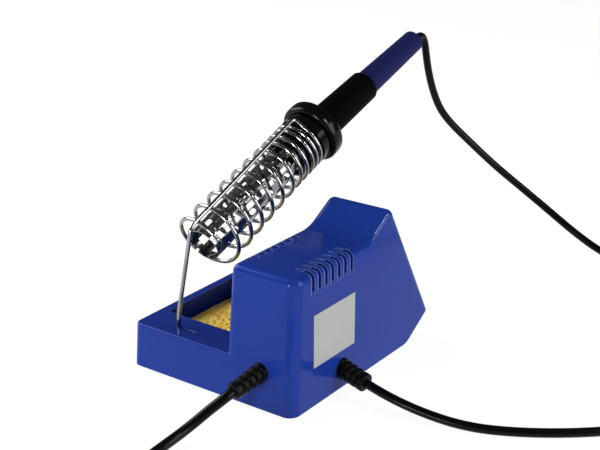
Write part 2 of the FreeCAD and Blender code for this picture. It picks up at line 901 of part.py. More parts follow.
def turned_at(body, name, profile, x, y, z=0):
    """One more turned solid in a body, its axis upright at a point."""
    sketch = sketch_on(body, name, "XZ_Plane", at=(x, z, -y))
    outline(sketch, profile)
    revolve(body, sketch)


def base_screws():
    """Four self-tapping screws, heads sunk in the cover."""
    body = new_body("base_screws", STATION, separate=True)
    thread = S.screw_diameter / 2
    head = S.screw_head_diameter / 2
    profile = [(0, 0), (head, 0), (head, S.screw_head_height), (thread, S.screw_head_height),
               (thread, S.screw_length - thread), (0, S.screw_length)]
    for number, (x, forward) in enumerate(boss_places, start=1):
        turned_at(body, f"screw_{number}", profile, x, -forward)


def rubber_feet():
    """Four round feet stuck under the cover."""
    body = new_body("rubber_feet", STATION, separate=True)
    radius = S.foot_diameter / 2
    edge = S.foot_height / 4
    foot_x = half_width - S.wall - S.foot_inset
    profile = [(0, -S.foot_height), (radius - edge, -S.foot_height), (radius, edge - S.foot_height),
               (radius, 0), (0, 0)]
    ends = {"rear": S.wall + S.foot_inset, "front": S.opening_front - S.foot_inset}
    for end, forward in ends.items():
        for side, x in (("left", -foot_x), ("right", foot_x)):
            turned_at(body, f"{end}_{side}_foot", profile, x, -forward)


def rating_label():
    """Blank sticker on the left side."""
    body = new_body("rating_label", STATION)
    sheet = sketch_on(body, "sticker", "YZ_Plane", at=(0, 0, -half_width - S.label_thickness))
    rounded_rectangle(sheet, -S.label_front, S.label_bottom, -S.label_rear, S.label_top,
                      S.label_round)
    pad(body, sheet, S.label_thickness)


# ---------------------------------------------------------------- sponge

def sponge():
    """Cellulose sponge lying in the well."""
    body = new_body("sponge", STATION)
    sheet = sketch_on(body, "sponge_outline", "XY_Plane",
                      at=(0, 0, S.well_floor + S.sponge_clearance))
    rounded_rectangle(sheet, well_left + S.sponge_gap, -S.well_front + S.sponge_gap,
                      well_right - S.sponge_gap, -S.well_rear - S.sponge_gap, S.well_round)
    pad(body, sheet, S.sponge_thickness)


# ---------------------------------------------------------------- front panel

def control_panel():
    """Plate in the front recess, with holes for the lamp, the knob and the switch."""
    body = new_body("control_panel", on_panel(0, -S.panel_thickness), PANEL_TURN)
    plate = sketch_on(body, "panel_plate", "XY_Plane")
    rounded_rectangle(plate, -S.panel_width / 2, -S.panel_length / 2, S.panel_width / 2,
                      S.panel_length / 2, S.panel_round)
    circle(plate, 0, lamp_up, S.lamp_diameter / 2 + S.lamp_gap)
    circle(plate, 0, S.knob_up, S.bush_diameter / 2 + S.bush_gap)
    width = S.switch_width / 2 - S.switch_shoulder
    length = S.switch_length / 2 - S.switch_shoulder
    rectangle(plate, -width, switch_up - length, width, switch_up + length)
    pad(body, plate, S.panel_thickness)


def temperature_knob():
    """Fluted knob with a pointer groove, bored for the shaft."""
    bottom = S.knob_lift
    skirt = bottom + S.knob_skirt
    top = bottom + S.knob_height
    bore = S.shaft_diameter / 2
    recess = S.nut_recess / 2
    base = S.knob_diameter / 2
    crown = S.knob_top_diameter / 2
    floor = S.bush_height + 2 * S.knob_lift
    body = turned("temperature_knob", [
        (recess, bottom), (base, bottom), (base, skirt - S.knob_lift),
        (crown + S.knob_edge, skirt), (crown, top - S.knob_edge), (crown - S.knob_edge, top),
        (0, top), (0, S.shaft_top),
        (bore, S.shaft_top), (bore, floor), (recess, floor),
    ], at=on_panel(S.knob_up, 0), turn=PANEL_TURN)
    groove = sketch_on(body, "pointer", "XY_Plane", at=(0, 0, top))
    rectangle(groove, -S.pointer_width / 2, crown / 3, S.pointer_width / 2,
              crown + S.knob_edge)
    pocket(body, groove, S.pointer_depth)
    flute = sketch_on(body, "flute", "XY_Plane", at=(0, 0, top))
    circle(flute, crown + S.flute_diameter / 4, 0, S.flute_diameter / 2)
    cut = pocket(body, flute, top - skirt - S.knob_lift)
    spin(body, cut, 360, S.flute_count)


def potentiometer():
    """Potentiometer: can behind the panel and the threaded bush through it."""
    can = -S.panel_thickness
    bush = S.bush_diameter / 2
    bore = S.shaft_diameter / 2 + S.shaft_gap
    turned("potentiometer", [
        (0, can - S.pot_height), (S.pot_diameter / 2, can - S.pot_height),
        (S.pot_diameter / 2, can), (bush, can), (bush, S.bush_height), (bore, S.bush_height),
        (bore, can - S.pot_height / 2), (0, can - S.pot_height / 2),
    ], at=on_panel(S.knob_up, 0), turn=PANEL_TURN)


def potentiometer_shaft():
    """Shaft that the knob turns."""
    radius = S.shaft_diameter / 2
    foot = S.shaft_gap - S.panel_thickness - S.pot_height / 2
    turned("potentiometer_shaft", [
        (0, foot), (radius, foot), (radius, S.shaft_top), (0, S.shaft_top),
    ], at=on_panel(S.knob_up, 0), turn=PANEL_TURN)


def potentiometer_nut():
    """Hexagon nut that clamps the bush to the panel."""
    body = new_body("potentiometer_nut", on_panel(S.knob_up, 0), PANEL_TURN)
    nut = sketch_on(body, "nut_outline", "XY_Plane")
    reach = S.nut_flats / 2 / cosine(dim(30))
    corners = [(reach * cosine(dim(60 * side)), reach * sine(dim(60 * side))) for side in range(6)]
    outline(nut, corners)
    circle(nut, 0, 0, S.bush_diameter / 2)
    pad(body, nut, S.nut_height)


def indicator_lamp():
    """Lamp lens with its flange behind the panel."""
    back = -S.panel_thickness
    lens = S.lamp_diameter / 2
    rim = S.panel_thickness / 2
    bulge = S.lamp_dome - rim
    dome = (lens * lens + bulge * bulge) / (2 * bulge)
    turned("indicator_lamp", [
        (0, back - S.lamp_body), (lens, back - S.lamp_body), (lens, back - rim),
        (S.lamp_flange / 2, back - rim), (S.lamp_flange / 2, back), (lens, back), (lens, rim),
        (0, S.lamp_dome),
    ], {6: (dome, 1)}, at=on_panel(lamp_up, 0), turn=PANEL_TURN)


def switch_frame():
    """Bezel and open box that the rocker tips in."""
    body = new_body("switch_frame", on_panel(switch_up, 0), PANEL_TURN)
    shoulder = S.switch_shoulder
    box = sketch_on(body, "switch_box", "XY_Plane", at=(0, 0, S.switch_bezel))
    width = S.switch_width / 2
    length = S.switch_length / 2
    rectangle(box, shoulder - width, shoulder - length, width - shoulder, length - shoulder)
    pad(body, box, S.switch_depth + S.switch_bezel, reverse=True)
    bezel = sketch_on(body, "switch_bezel", "XY_Plane")
    rounded_rectangle(bezel, -width, -length, width, length, shoulder)
    pad(body, bezel, S.switch_bezel)
    inner = shoulder + S.switch_wall
    well = sketch_on(body, "rocker_well", "XY_Plane", at=(0, 0, S.switch_bezel))
    rectangle(well, inner - width, inner - length, width - inner, length - inner)
    pocket(body, well, S.switch_depth + S.switch_bezel - S.switch_wall)
    bearings = sketch_on(body, "trunnion_holes", "YZ_Plane")
    circle(bearings, 0, -S.rocker_pivot_depth, S.trunnion_radius + S.trunnion_gap)
    pocket(body, bearings, S.switch_width - S.switch_shoulder, both_ways=True)


def power_rocker():
    """Rocker with two faces that meet in a shallow valley over its pivot."""
    inner = S.switch_shoulder + S.switch_wall + S.rocker_gap
    half = S.switch_length / 2 - inner
    rise = S.rocker_rise + half * sine(S.rocker_tilt)
    body = new_body("power_rocker", on_panel(switch_up, -S.rocker_pivot_depth),
                    (0, 0, S.front_slope + S.rocker_tilt))
    side = sketch_on(body, "rocker_side", "YZ_Plane")
    reach = half * cosine(S.rocker_tilt)
    tip = (half - rise * sine(S.rocker_tilt)) / cosine(S.rocker_tilt)
    outline(side, [
        (-tip, rise), (-reach, 0), (-half / 2, -S.rocker_bottom), (half / 2, -S.rocker_bottom),
        (reach, 0), (tip, rise), (0, S.rocker_rise),
    ])
    pad(body, side, S.switch_width - 2 * inner, both_ways=True)
    trunnions = sketch_on(body, "trunnions", "YZ_Plane")
    circle(trunnions, 0, 0, S.trunnion_radius)
    pad(body, trunnions, S.switch_width - 2 * S.switch_shoulder - S.switch_wall, both_ways=True)


# ---------------------------------------------------------------- electrics inside

board_back = S.panel_thickness + S.pot_height
board_low = S.knob_up - S.board_below_knob
board_high = slope_up - S.board_below_crest
board_up = (board_low + board_high) / 2
board_length = board_high - board_low


def control_board():
    """Circuit board soldered behind the potentiometer."""
    body = new_body("control_board", on_panel(board_up, -board_back), PANEL_TURN)
    board = sketch_on(body, "board", "XY_Plane", at=(0, 0, -S.board_thickness))
    rectangle(board, -S.board_width / 2, -board_length / 2, S.board_width / 2,
              board_length / 2)
    pad(body, board, S.board_thickness)


def board_components():
    """Triac with its cooling plate, two capacitors, a resistor and a terminal block."""
    body = new_body("board_components", on_panel(board_up, -board_back - S.board_thickness),
                    PANEL_TURN, separate=True)
    unit = S.board_width / 17
    step = board_length / 22
    blocks = {
        "cooling_plate": (-7, -8, 6, 1, 8), "triac": (-7, -6.9, 5, 2, 7),
        "film_capacitor": (0, -8, 6, 3, 5), "resistor": (-6, 0, 4, 1.2, 1.2),
        "terminal_block": (-6, 6, 12, 4, 5), "driver_chip": (2, -2, 4, 3, 1.5),
    }
    for name, (left, low, width, length, height) in blocks.items():
        block = sketch_on(body, name, "XY_Plane")
        rectangle(block, unit * left, step * low, unit * (left + width), step * (low + length))
        pad(body, block, unit * height, reverse=True)
    radius = 1.6 * unit
    tall = 5.5 * unit
    turned_at(body, "electrolytic", [(0, -tall), (radius, -tall), (radius, 0), (0, 0)],
              unit * 5.5, step * 3.5)


core_bottom = S.plate_thickness
CORE = (core_x, S.rear_face - S.core_forward, S.foot_height + core_bottom)
strap_reach = S.core_length / 2 + S.strap_gap + S.strap_thickness
strap_screws = [S.core_forward + side * (strap_reach + S.strap_foot / 2) for side in (-1, 1)]


def transformer_core():
    """Laminated core with two windows."""
    body = new_body("transformer_core", CORE)
    section = sketch_on(body, "laminations", "YZ_Plane")
    half = S.core_length / 2
    rectangle(section, -half, 0, half, S.core_height)
    low = (S.core_height - S.core_window_height) / 2
    middle = half / 3
    for side in (-1, 1):
        near_leg, far_leg = side * middle, side * (middle + S.core_window)
        rectangle(section, near_leg, low, far_leg, low + S.core_window_height)
    pad(body, section, S.core_stack, both_ways=True)


def transformer_winding():
    """Taped winding round the middle leg."""
    body = new_body("transformer_winding", CORE)
    gap = S.winding_gap
    low = (S.core_height - S.core_window_height) / 2 + gap
    ring = sketch_on(body, "winding", "XY_Plane", at=(0, 0, low))
    leg_x = S.core_stack / 2 + gap
    leg_y = S.core_length / 6 + gap
    reach_x = S.core_stack / 2 + S.winding_overhang
    reach_y = S.core_length / 6 + S.core_window - gap
    rounded_rectangle(ring, -reach_x, -reach_y, reach_x, reach_y, S.winding_overhang / 2)
    rectangle(ring, -leg_x, -leg_y, leg_x, leg_y)
    pad(body, ring, S.core_window_height - 2 * gap)


def transformer_bracket():
    """Steel strap over the core with two screwed feet."""
    body = new_body("transformer_bracket", CORE)
    inner = strap_reach - S.strap_thickness
    outer = strap_reach
    foot = outer + S.strap_foot
    thick = S.strap_thickness
    top = S.core_height + S.strap_gap
    profile = sketch_on(body, "strap", "YZ_Plane")
    outline(profile, [
        (-foot, 0), (-inner, 0), (-inner, top), (inner, top), (inner, 0), (foot, 0),
        (foot, thick), (outer, thick), (outer, top + thick), (-outer, top + thick),
        (-outer, thick), (-foot, thick),
    ])
    pad(body, profile, S.strap_width, both_ways=True)
    holes = sketch_on(body, "strap_holes", "XY_Plane", at=(0, 0, thick))
    for side in (-1, 1):
        circle(holes, 0, side * (outer + S.strap_foot / 2), S.strap_screw_diameter / 2)
    pocket(body, holes, thick)


def transformer_screws():
    """Two screws through the strap's feet into the cover."""
    body = new_body("transformer_screws", STATION, separate=True)
    thread = S.strap_screw_diameter / 2
    head = S.strap_screw_head / 2
    seat = core_bottom + S.strap_thickness
    top = seat + S.strap_screw_head_height
    profile = [(0, 0), (thread, 0), (thread, seat), (head, seat), (head, top), (0, top)]
    for number, forward in enumerate(strap_screws, start=1):
        turned_at(body, f"strap_screw_{number}", profile, core_x, -forward)


# ---------------------------------------------------------------- wire holder

HOLDER = (half_width - S.holder_side, S.holder_y, S.holder_z)
HOLDER_TURN = (S.holder_yaw, 0, 90 - S.holder_lift)
wire = S.wire_diameter / 2
coil_steps = [
    ("open", S.coil_pitch_open, S.coil_turns_open),
    ("middle", S.coil_pitch_middle, S.coil_turns_middle),
    ("closing", S.coil_pitch_closing, S.coil_turns_closing),
    ("close", S.coil_pitch_close, S.coil_turns_close),
    ("neck", S.coil_pitch_neck, S.coil_turns_neck + S.coil_last_bend / 360),
]
cone_length = (
    S.coil_pitch_open * S.coil_turns_open + S.coil_pitch_middle * S.coil_turns_middle
    + S.coil_pitch_closing * S.coil_turns_closing
)
cone_slope = (S.coil_radius - S.coil_neck_radius) / cone_length
coil_end = (
    S.coil_start + cone_length + S.coil_pitch_close * S.coil_turns_close
    + S.coil_pitch_neck * (S.coil_turns_neck + S.coil_last_bend / 360)
)


collar_neck_start = coil_end + S.collar_neck_gap
flange_start = collar_neck_start + S.collar_neck_length
collar_end = flange_start + S.collar_flange_length
liner_length = flange_start - S.liner_short


def coil_point(turns):
    """Middle of the wire after some turns from its free end, in the holder's frame."""
    along = 0
    left = turns
    for _, pitch, count in coil_steps:
        part = min(left, dim(count).value)
        along += pitch.value * part
        left -= part
    radius = S.coil_radius.value - cone_slope.value * min(along, cone_length.value)
    angle = math.radians(S.coil_start_angle.value - 360 * turns)
    return V(radius * math.cos(angle), radius * math.sin(angle), S.coil_start.value + along)


def holder_coil():
    """Wound wire: a tapering open coil that closes up toward the collar."""
    turns = sum(dim(count).value for _, _, count in coil_steps)
    chords = math.ceil(turns * S.coil_chords.value)
    points = [coil_point(turns * number / chords) for number in range(chords + 1)]
    coil = swept("holder_coil", Part.makePolygon(points), wire.value)
    coil.setExpression("Placement", placement_text(HOLDER, HOLDER_TURN))


def swept(name, path, radius):
    """An eight-sided bar along a path of edges, as thick as a round one of that radius."""
    first = path.Edges[0]
    heading = first.tangentAt(first.FirstParameter)
    ring = Part.makeCircle(radius * OCTAGON_REACH, first.valueAt(first.FirstParameter), heading)
    corners = ring.discretize(OCTAGON + 1)[:OCTAGON]
    section = Part.makePolygon(corners + corners[:1])
    solid = path.makePipeShell([section], True, False, 1)
    feature = doc.addObject("Part::Feature", name)
    feature.Shape = solid
    share = solid.Volume / (math.pi * radius ** 2 * path.Length)
    print(f"{name}: volume over section times length {share:.4f}")
    return keep(feature, name)


def bent_path(points, radii):
    """Straight runs joined by tangent arcs; radii has one value for each inner point."""
    edges = []
    start = points[0]
    for corner, following, previous, radius in zip(points[1:-1], points[2:], points, radii):
        back = (previous - corner).normalize()
        ahead = (following - corner).normalize()
        half_turn = (math.pi - back.getAngle(ahead)) / 2
        trim = radius * math.tan(half_turn)
        middle = (back + ahead).normalize() * (radius / math.cos(half_turn) - radius)
        enter, leave = corner + back * trim, corner + ahead * trim
        edges.append(Part.makeLine(start, enter))
        edges.append(Part.Arc(enter, corner + middle, leave).toShape())
        start = leave
    edges.append(Part.makeLine(start, points[-1]))
    return Part.Wire(edges)


def holder_leg():
    """The same wire past the neck: back along the top of the coil and down to the deck."""
    turn = math.radians(S.coil_start_angle.value - S.coil_last_bend.value)
    radius = S.coil_neck_radius.value
    rise = S.coil_pitch_neck.value / (2 * math.pi * radius)
    start = V(radius * math.cos(turn), radius * math.sin(turn), coil_end.value)
    heading = V(math.sin(turn), -math.cos(turn), rise)
    corner = start + heading * ((S.neck_corner_x.value - start.x) / heading.x)
    over = V(S.run_end_x.value, S.run_end_up.value, S.run_end_along.value)

    place = holder_frame()
    foot_y = S.rear_face.value - S.leg_forward.value
    deck = S.deck_height.value + S.foot_height.value
    upright = V(leg_x.value, foot_y, deck + S.leg_upright.value)
    foot = V(leg_x.value, foot_y, deck - S.leg_depth.value)
    down = [place.inverse().multVec(point) for point in (upright, foot)]
    radii = [S.neck_bend_radius.value, S.leg_bend_radius.value, S.leg_bend_radius.value * 2]
    leg = swept("holder_leg", bent_path([start, corner, over, *down], radii), wire.value)
    leg.setExpression("Placement", placement_text(HOLDER, HOLDER_TURN))


def holder_frame():
    """Placement of the holder's own frame, its Z along the coil."""
    turn = FreeCAD.Rotation(*(dim(angle).value for angle in HOLDER_TURN))
    return FreeCAD.Placement(V(*(place.value for place in HOLDER)), turn)


def holder_liner():
    """Thin steel tube with staggered windows, open at its lower end."""
    body = new_body("holder_liner", HOLDER, HOLDER_TURN)
    ring = sketch_on(body, "tube", "XY_Plane")
    circle(ring, 0, 0, S.liner_radius)
    circle(ring, 0, 0, S.liner_radius - S.liner_wall)
    pad(body, ring, liner_length)
    for name, offset, angle in (
        ("window", 0, 0), ("shifted_window", S.window_pitch / 2, S.window_shift),
    ):
        row = sketch_on(body, name, "XZ_Plane", turn=(0, angle, 0))
        for number in range(round(S.window_rows.value)):
            middle = S.window_first + offset + S.window_pitch * number
            rectangle(row, -S.window_width / 2, middle - S.window_length / 2,
                      S.window_width / 2, middle + S.window_length / 2)
        cut = pocket(body, row, 2 * S.liner_radius + S.liner_wall, both_ways=True)
        spin(body, cut, 180 - 180 / S.window_ring, S.window_ring)


def holder_collar():
    """Moulded mouth: a reduced part under the neck turns, a neck ring and a flange."""
    bore = S.liner_radius + S.liner_gap
    grip = S.coil_neck_radius - wire - S.collar_grip_gap
    rim = S.collar_chamfer
    flange = S.collar_flange_radius
    start = coil_end - S.collar_grip_length
    turned("holder_collar", [
        (bore, start), (grip, start), (grip, collar_neck_start),
        (S.collar_neck_radius, collar_neck_start), (S.collar_neck_radius, flange_start),
        (flange - rim, flange_start), (flange, flange_start + rim), (flange, collar_end - rim),
        (flange - rim, collar_end), (S.collar_mouth_radius, collar_end),
        (S.collar_throat_radius, liner_length), (bore, liner_length),
    ], at=HOLDER, turn=HOLDER_TURN)


# ---------------------------------------------------------------- iron

IRON = (half_width - S.iron_side, S.iron_y, S.iron_z)
IRON_TURN = (S.holder_yaw, 0, 90 - S.iron_lift)


def iron_piece(name, profile, arcs=None):
    return turned(name, profile, arcs, at=IRON, turn=IRON_TURN)


def iron_handle():
    """Tapering handle; its front part runs inside the grip."""
    shoulder = S.grip_rear
    tip = S.handle_end
    edge = S.handle_chamfer
    exit_radius = S.iron_cord / 2 + S.handle_cord_gap
    iron_piece("iron_handle", [
        (S.handle_bore, S.handle_front), (S.handle_core_radius, S.handle_front),
        (S.handle_core_radius, shoulder), (S.handle_radius, shoulder),
        (S.handle_end_radius, tip - edge), (S.handle_end_radius - edge, tip),
        (exit_radius, tip), (exit_radius, tip - S.handle_end_wall),
        (exit_radius + 1, tip - S.handle_end_wall), (S.handle_bore, tip - 4 * S.handle_end_wall),
    ])


def grip_sleeve():
    """Soft sleeve over the front of the handle."""
    inner = S.handle_core_radius + S.grip_gap
    edge = S.grip_chamfer
    iron_piece("grip_sleeve", [
        (inner, S.grip_front), (S.grip_front_radius, S.grip_front),
        (S.grip_radius - 1, S.grip_step), (S.grip_radius, S.grip_step + edge),
        (S.grip_rear_radius, S.grip_rear - edge), (S.grip_rear_radius - edge, S.grip_rear),
        (inner, S.grip_rear),
    ])


def iron_nose():
    """Cap in the front of the handle that carries the barrel."""
    face = S.grip_front
    hole = S.barrel_radius + S.barrel_gap
    plug = S.handle_bore - S.barrel_gap
    iron_piece("iron_nose", [
        (hole, face - S.nose_length), (S.nose_front_radius, face - S.nose_length),
        (S.nose_radius, face), (S.nose_radius - 1, S.handle_front), (plug, S.handle_front),
        (plug, S.handle_front + S.nose_spigot), (hole, S.handle_front + S.nose_spigot),
    ])


def iron_barrel():
    """Steel tube over the heater, flared where the nose holds it."""
    outer = S.barrel_radius
    inner = outer - S.barrel_wall
    flare = S.handle_front + S.nose_spigot
    iron_piece("iron_barrel", [
        (inner, S.barrel_front), (outer, S.barrel_front), (outer, flare),
        (outer + S.barrel_flare, flare), (outer + S.barrel_flare, S.barrel_rear),
        (inner, S.barrel_rear),
    ])


def heating_element():
    """Ceramic heater inside the barrel."""
    iron_piece("heating_element", [
        (0, S.heater_front), (S.heater_radius, S.heater_front),
        (S.heater_radius, S.heater_rear), (0, S.heater_rear),
    ])


def soldering_tip():
    """Copper tip: a shank in the barrel and a long cone."""
    shoulder = S.barrel_front
    iron_piece("soldering_tip", [
        (0, S.tip_front), (S.tip_end_radius, S.tip_front),
        (S.tip_shoulder_radius, S.tip_cone_start), (S.tip_shoulder_radius, shoulder),
        (S.tip_shank_radius, shoulder), (S.tip_shank_radius, S.tip_shank_rear),
        (S.heater_radius + S.barrel_gap, S.tip_shank_rear),
        (S.heater_radius + S.barrel_gap, S.heater_front - S.barrel_gap),
        (0, S.heater_front - S.barrel_gap),
    ])


def tip_nut():
    """Nut over the end of the barrel that holds the tip."""
    outer = S.tip_nut_radius
    over = S.barrel_radius + S.barrel_gap
    iron_piece("tip_nut", [
        (S.tip_shoulder_radius + S.barrel_gap, S.tip_nut_front), (outer - 1, S.tip_nut_front),
        (outer, S.tip_nut_front + 1), (outer, S.tip_nut_front + S.tip_nut_length),
        (over, S.tip_nut_front + S.tip_nut_length), (over, S.barrel_front - S.barrel_gap),
        (S.tip_shoulder_radius + S.barrel_gap, S.barrel_front - S.barrel_gap),
    ])


# ---------------------------------------------------------------- leads

def strain_relief(name, at, heading, cord, radius, end, length, droop, swing):
    """Boot: a head inside the wall, a neck through it, and a drooping ribbed tail."""
    body = new_body(name, at, (heading, 0, 90))
    bore = cord / 2
    base = sketch_on(body, name + "_base", "XZ_Plane")
    outline(base, [
        (bore, -S.wall - S.gland_head_length), (S.gland_head - 1, -S.wall - S.gland_head_length),
        (S.gland_head, -S.wall - S.gland_head_length / 2), (S.gland_head, -S.wall),
        (S.gland_neck, -S.wall), (S.gland_neck, 0), (radius, 0), (radius, S.gland_base),
        (bore, S.gland_base),
    ])
    revolve(body, base)
    first = S.gland_base / 2
    ribs = round(S.gland_ribs.value)
    pitch = (length - first) / (2 * ribs + 1)
    outside = []
    for number in range(2 * ribs + 1):
        share = (number + 0.5) / (2 * ribs + 1)
        reach = radius - (radius - end) * share
        if number % 2:
            reach = reach - S.rib_depth
        outside += [(reach, first + pitch * number), (reach, first + pitch * (number + 1))]
    tail = sketch_on(body, name + "_tail", "XZ_Plane", turn=(swing, 0, droop))
    outline(tail, [(bore, first), *outside, (bore, first + pitch * (2 * ribs + 1))])
    revolve(body, tail)


def mains_strain_relief():
    """Ribbed boot in the rear wall."""
    wall_y = S.rear_face - S.rear_lean * S.mains_gland_height
    strain_relief("mains_strain_relief",
                  (mains_gland_x, wall_y, S.foot_height + S.mains_gland_height), 180,
                  S.mains_cord, S.mains_gland_radius, S.mains_gland_end, S.mains_gland_length,
                  S.mains_gland_droop, S.mains_gland_turn)


def iron_strain_relief():
    """Shorter ribbed boot in the left wall."""
    forward = S.rear_face - S.iron_gland_forward
    strain_relief("iron_strain_relief",
                  (-half_width, forward, S.foot_height + S.iron_gland_height), -90,
                  S.iron_cord, S.iron_gland_radius, S.iron_gland_end, S.iron_gland_length,
                  S.iron_gland_droop, S.iron_gland_turn)


# Routes of the leads, chosen by hand. Each starts where its lead leaves a piece.
HANGING_ROUTE = [
    (21.0, -126.6, 160.6), (20.7, -134.7, 163.4), (20.4, -140.0, 156.6), (20.2, -142.0, 147.4),
    (20.0, -145.6, 134.8), (19.4, -151.6, 119.6), (17.0, -159.0, 104.0), (12.0, -167.3, 91.8),
    (0.5, -180.0, 75.0), (-14.0, -190.5, 58.0), (-33.0, -198.0, 42.5), (-54.0, -202.0, 28.0),
    (-76.0, -203.5, 14.2), (-97.0, -203.0, 4.6), (-117.0, -197.4, 2.9),
]
FLOOR_ROUTE = [
    (-117.4, -197.3, 2.9), (-136.5, -191.6, 2.9), (-152.0, -178.4, 2.9), (-161.8, -158.6, 2.9),
    (-166.2, -134.4, 3.2), (-167.0, -108.0, 3.7),
]
RETURN_ROUTE = [
    (-77.4, 80.9, 11.8), (-84.8, 82.0, 10.7), (-95.2, 82.7, 8.9), (-108.1, 82.1, 6.6),
    (-121.4, 80.1, 4.4), (-135.0, 77.9, 3.2), (-148.6, 74.4, 2.9), (-161.2, 68.9, 2.9),
    (-173.9, 61.6, 2.9), (-186.9, 52.6, 2.9), (-199.2, 42.6, 2.9), (-210.6, 31.6, 2.9),
    (-218.0, 16.8, 2.9), (-219.0, -2.4, 2.9), (-211.6, -21.8, 2.9), (-199.4, -39.8, 4.2),
    (-185.0, -58.2, 7.0), (-176.4, -72.8, 9.1),
]
MAINS_ROUTE = [
    (-32.5, 150.9, 20.0), (-30.2, 155.2, 17.2), (-27.1, 161.3, 13.5), (-23.9, 169.0, 9.0),
    (-21.2, 178.0, 5.2), (-20.2, 189.8, 3.4), (-21.0, 203.0, 3.1), (-22.2, 215.6, 3.4),
    (-22.3, 226.0, 3.9),
]
PLUG_ROUTE = [
    (-88.6, 268.6, 10.6), (-97.4, 262.6, 10.2), (-105.6, 255.4, 9.0), (-112.0, 249.0, 7.4),
]


def lead(name, route, cord):
    """One lead along its route, its arcs as large as the runs allow."""
    points = [V(*place) for place in route]
    runs = [(after - before).Length for before, after in zip(points, points[1:])]
    radii = []
    for number, corner in enumerate(points[1:-1], start=1):
        turn = math.pi - (points[number - 1] - corner).getAngle(points[number + 1] - corner)
        radii.append(0.45 * min(runs[number - 1], runs[number]) / math.tan(turn / 2))
    path = bent_path(points, radii)
    print(f"{name}: length {path.Length:.0f}, arc radii", *(round(radius) for radius in radii))
    swept(name, path, cord.value / 2).Placement = FreeCAD.Placement()


def lead_coil(name, tie_name, x, y, radius, cord, rows, tie_angle):
    """Closed outer shape of a coil two layers high, and the strap that ties it."""
    inner = radius - cord * rows / 2
    outer = radius + cord * rows / 2
    low = S.coil_lift
    high = S.coil_lift + 2 * cord
    edge = S.coil_edge
    turned(name, [
        (inner, low + edge), (inner + edge, low), (outer - edge, low), (outer, low + edge),
        (outer, high - edge), (outer - edge, high), (inner + edge, high), (inner, high - edge),
    ], at=(x, y, 0))
    band = new_body(tie_name, (x, y, 0), (tie_angle, 0, 0))
    loop = sketch_on(band, tie_name + "_loop", "XZ_Plane")
    left = inner - S.tie_width * S.tie_width / 8 / inner
    right = outer + S.tie_slack
    bottom = low - S.tie_slack
    rectangle(loop, left - S.tie_thickness, bottom - S.tie_thickness, right + S.tie_thickness,
              high + S.tie_thickness)
    rectangle(loop, left, bottom, right, high + S.tie_slack)
    pad(band, loop, S.tie_width, both_ways=True)


def leads():
    """Both leads: tubes where they hang or lie, and the coil of the rest of each."""
    lead("iron_lead_hanging", HANGING_ROUTE, S.iron_cord)
    lead("iron_lead_floor", FLOOR_ROUTE, S.iron_cord)
    lead("iron_lead_return", RETURN_ROUTE, S.iron_cord)
    lead("mains_lead", MAINS_ROUTE, S.mains_cord)
    lead("plug_lead", PLUG_ROUTE, S.mains_cord)
    lead_coil("iron_coil", "iron_tie", S.iron_coil_x, S.iron_coil_y, S.iron_coil_radius,
              S.iron_cord, S.iron_coil_rows, S.iron_tie_angle)
    lead_coil("mains_coil", "mains_tie", S.mains_coil_x, S.mains_coil_y, S.mains_coil_radius,
              S.mains_cord, S.mains_coil_rows, S.mains_tie_angle)


PLUG = (S.plug_x, S.plug_y, S.plug_thickness / 2)


def mains_plug():
    """Flat two-pin plug with a tapered boot, lying on its side face."""
    body = new_body("mains_plug", PLUG, (S.plug_heading, 0, 0))
    wide = S.plug_width / 2
    narrow = S.plug_neck_width / 2
    shape = sketch_on(body, "plug_outline", "XY_Plane")
    outline(shape, [
        (0, -narrow), (S.plug_length - S.plug_shoulder, -wide), (S.plug_length, -wide),
        (S.plug_length, wide), (S.plug_length - S.plug_shoulder, wide), (0, narrow),
    ])
    pad(body, shape, S.plug_thickness, both_ways=True)
    ease(body, "plug_edges", S.plug_round,
         lambda m, a, b: near(abs(m.z), S.plug_thickness.value / 2) and m.x < S.plug_length.value - 0.1)
    holes = sketch_on(body, "pin_holes", "YZ_Plane", at=(0, 0, S.plug_length))
    for side in (-1, 1):
        circle(holes, side * S.pin_pitch / 2, 0, S.pin_diameter / 2)
    pocket(body, holes, S.pin_depth)
    boot = sketch_on(body, "plug_boot", "XY_Plane")
    outline(boot, [
        (-S.plug_boot, S.plug_boot_end), (S.plug_round, S.plug_boot_radius),
        (S.plug_round, 0), (-S.plug_boot, 0),
    ])
    revolve(body, boot, "H_Axis")


def plug_pins():
    """Two round pins."""
    body = new_body("plug_pins", PLUG, (S.plug_heading, 0, 0), separate=True)
    radius = S.pin_diameter / 2
    start = S.plug_length - S.pin_depth
    tip = S.plug_length + S.pin_length
    for side in (-1, 1):
        pin = sketch_on(body, f"pin_{side + 2}", "XY_Plane", at=(0, side * S.pin_pitch / 2, 0))
        outline(pin, [(start, 0), (start, radius), (tip - 1, radius), (tip, radius - 1), (tip, 0)])
        revolve(body, pin, "H_Axis")


def main():
    for make in (
        upper_housing, base_plate, base_screws, rubber_feet, rating_label, sponge,
        control_panel, temperature_knob, potentiometer, potentiometer_shaft,
        potentiometer_nut, indicator_lamp, switch_frame, power_rocker, control_board,
        board_components, transformer_core, transformer_winding, transformer_bracket,
        transformer_screws, holder_coil, holder_leg, holder_liner, holder_collar,
        iron_handle, grip_sleeve, iron_nose, iron_barrel, heating_element, soldering_tip,
        tip_nut, mains_strain_relief, iron_strain_relief, leads, mains_plug, plug_pins,
    ):
        make()
    finish()


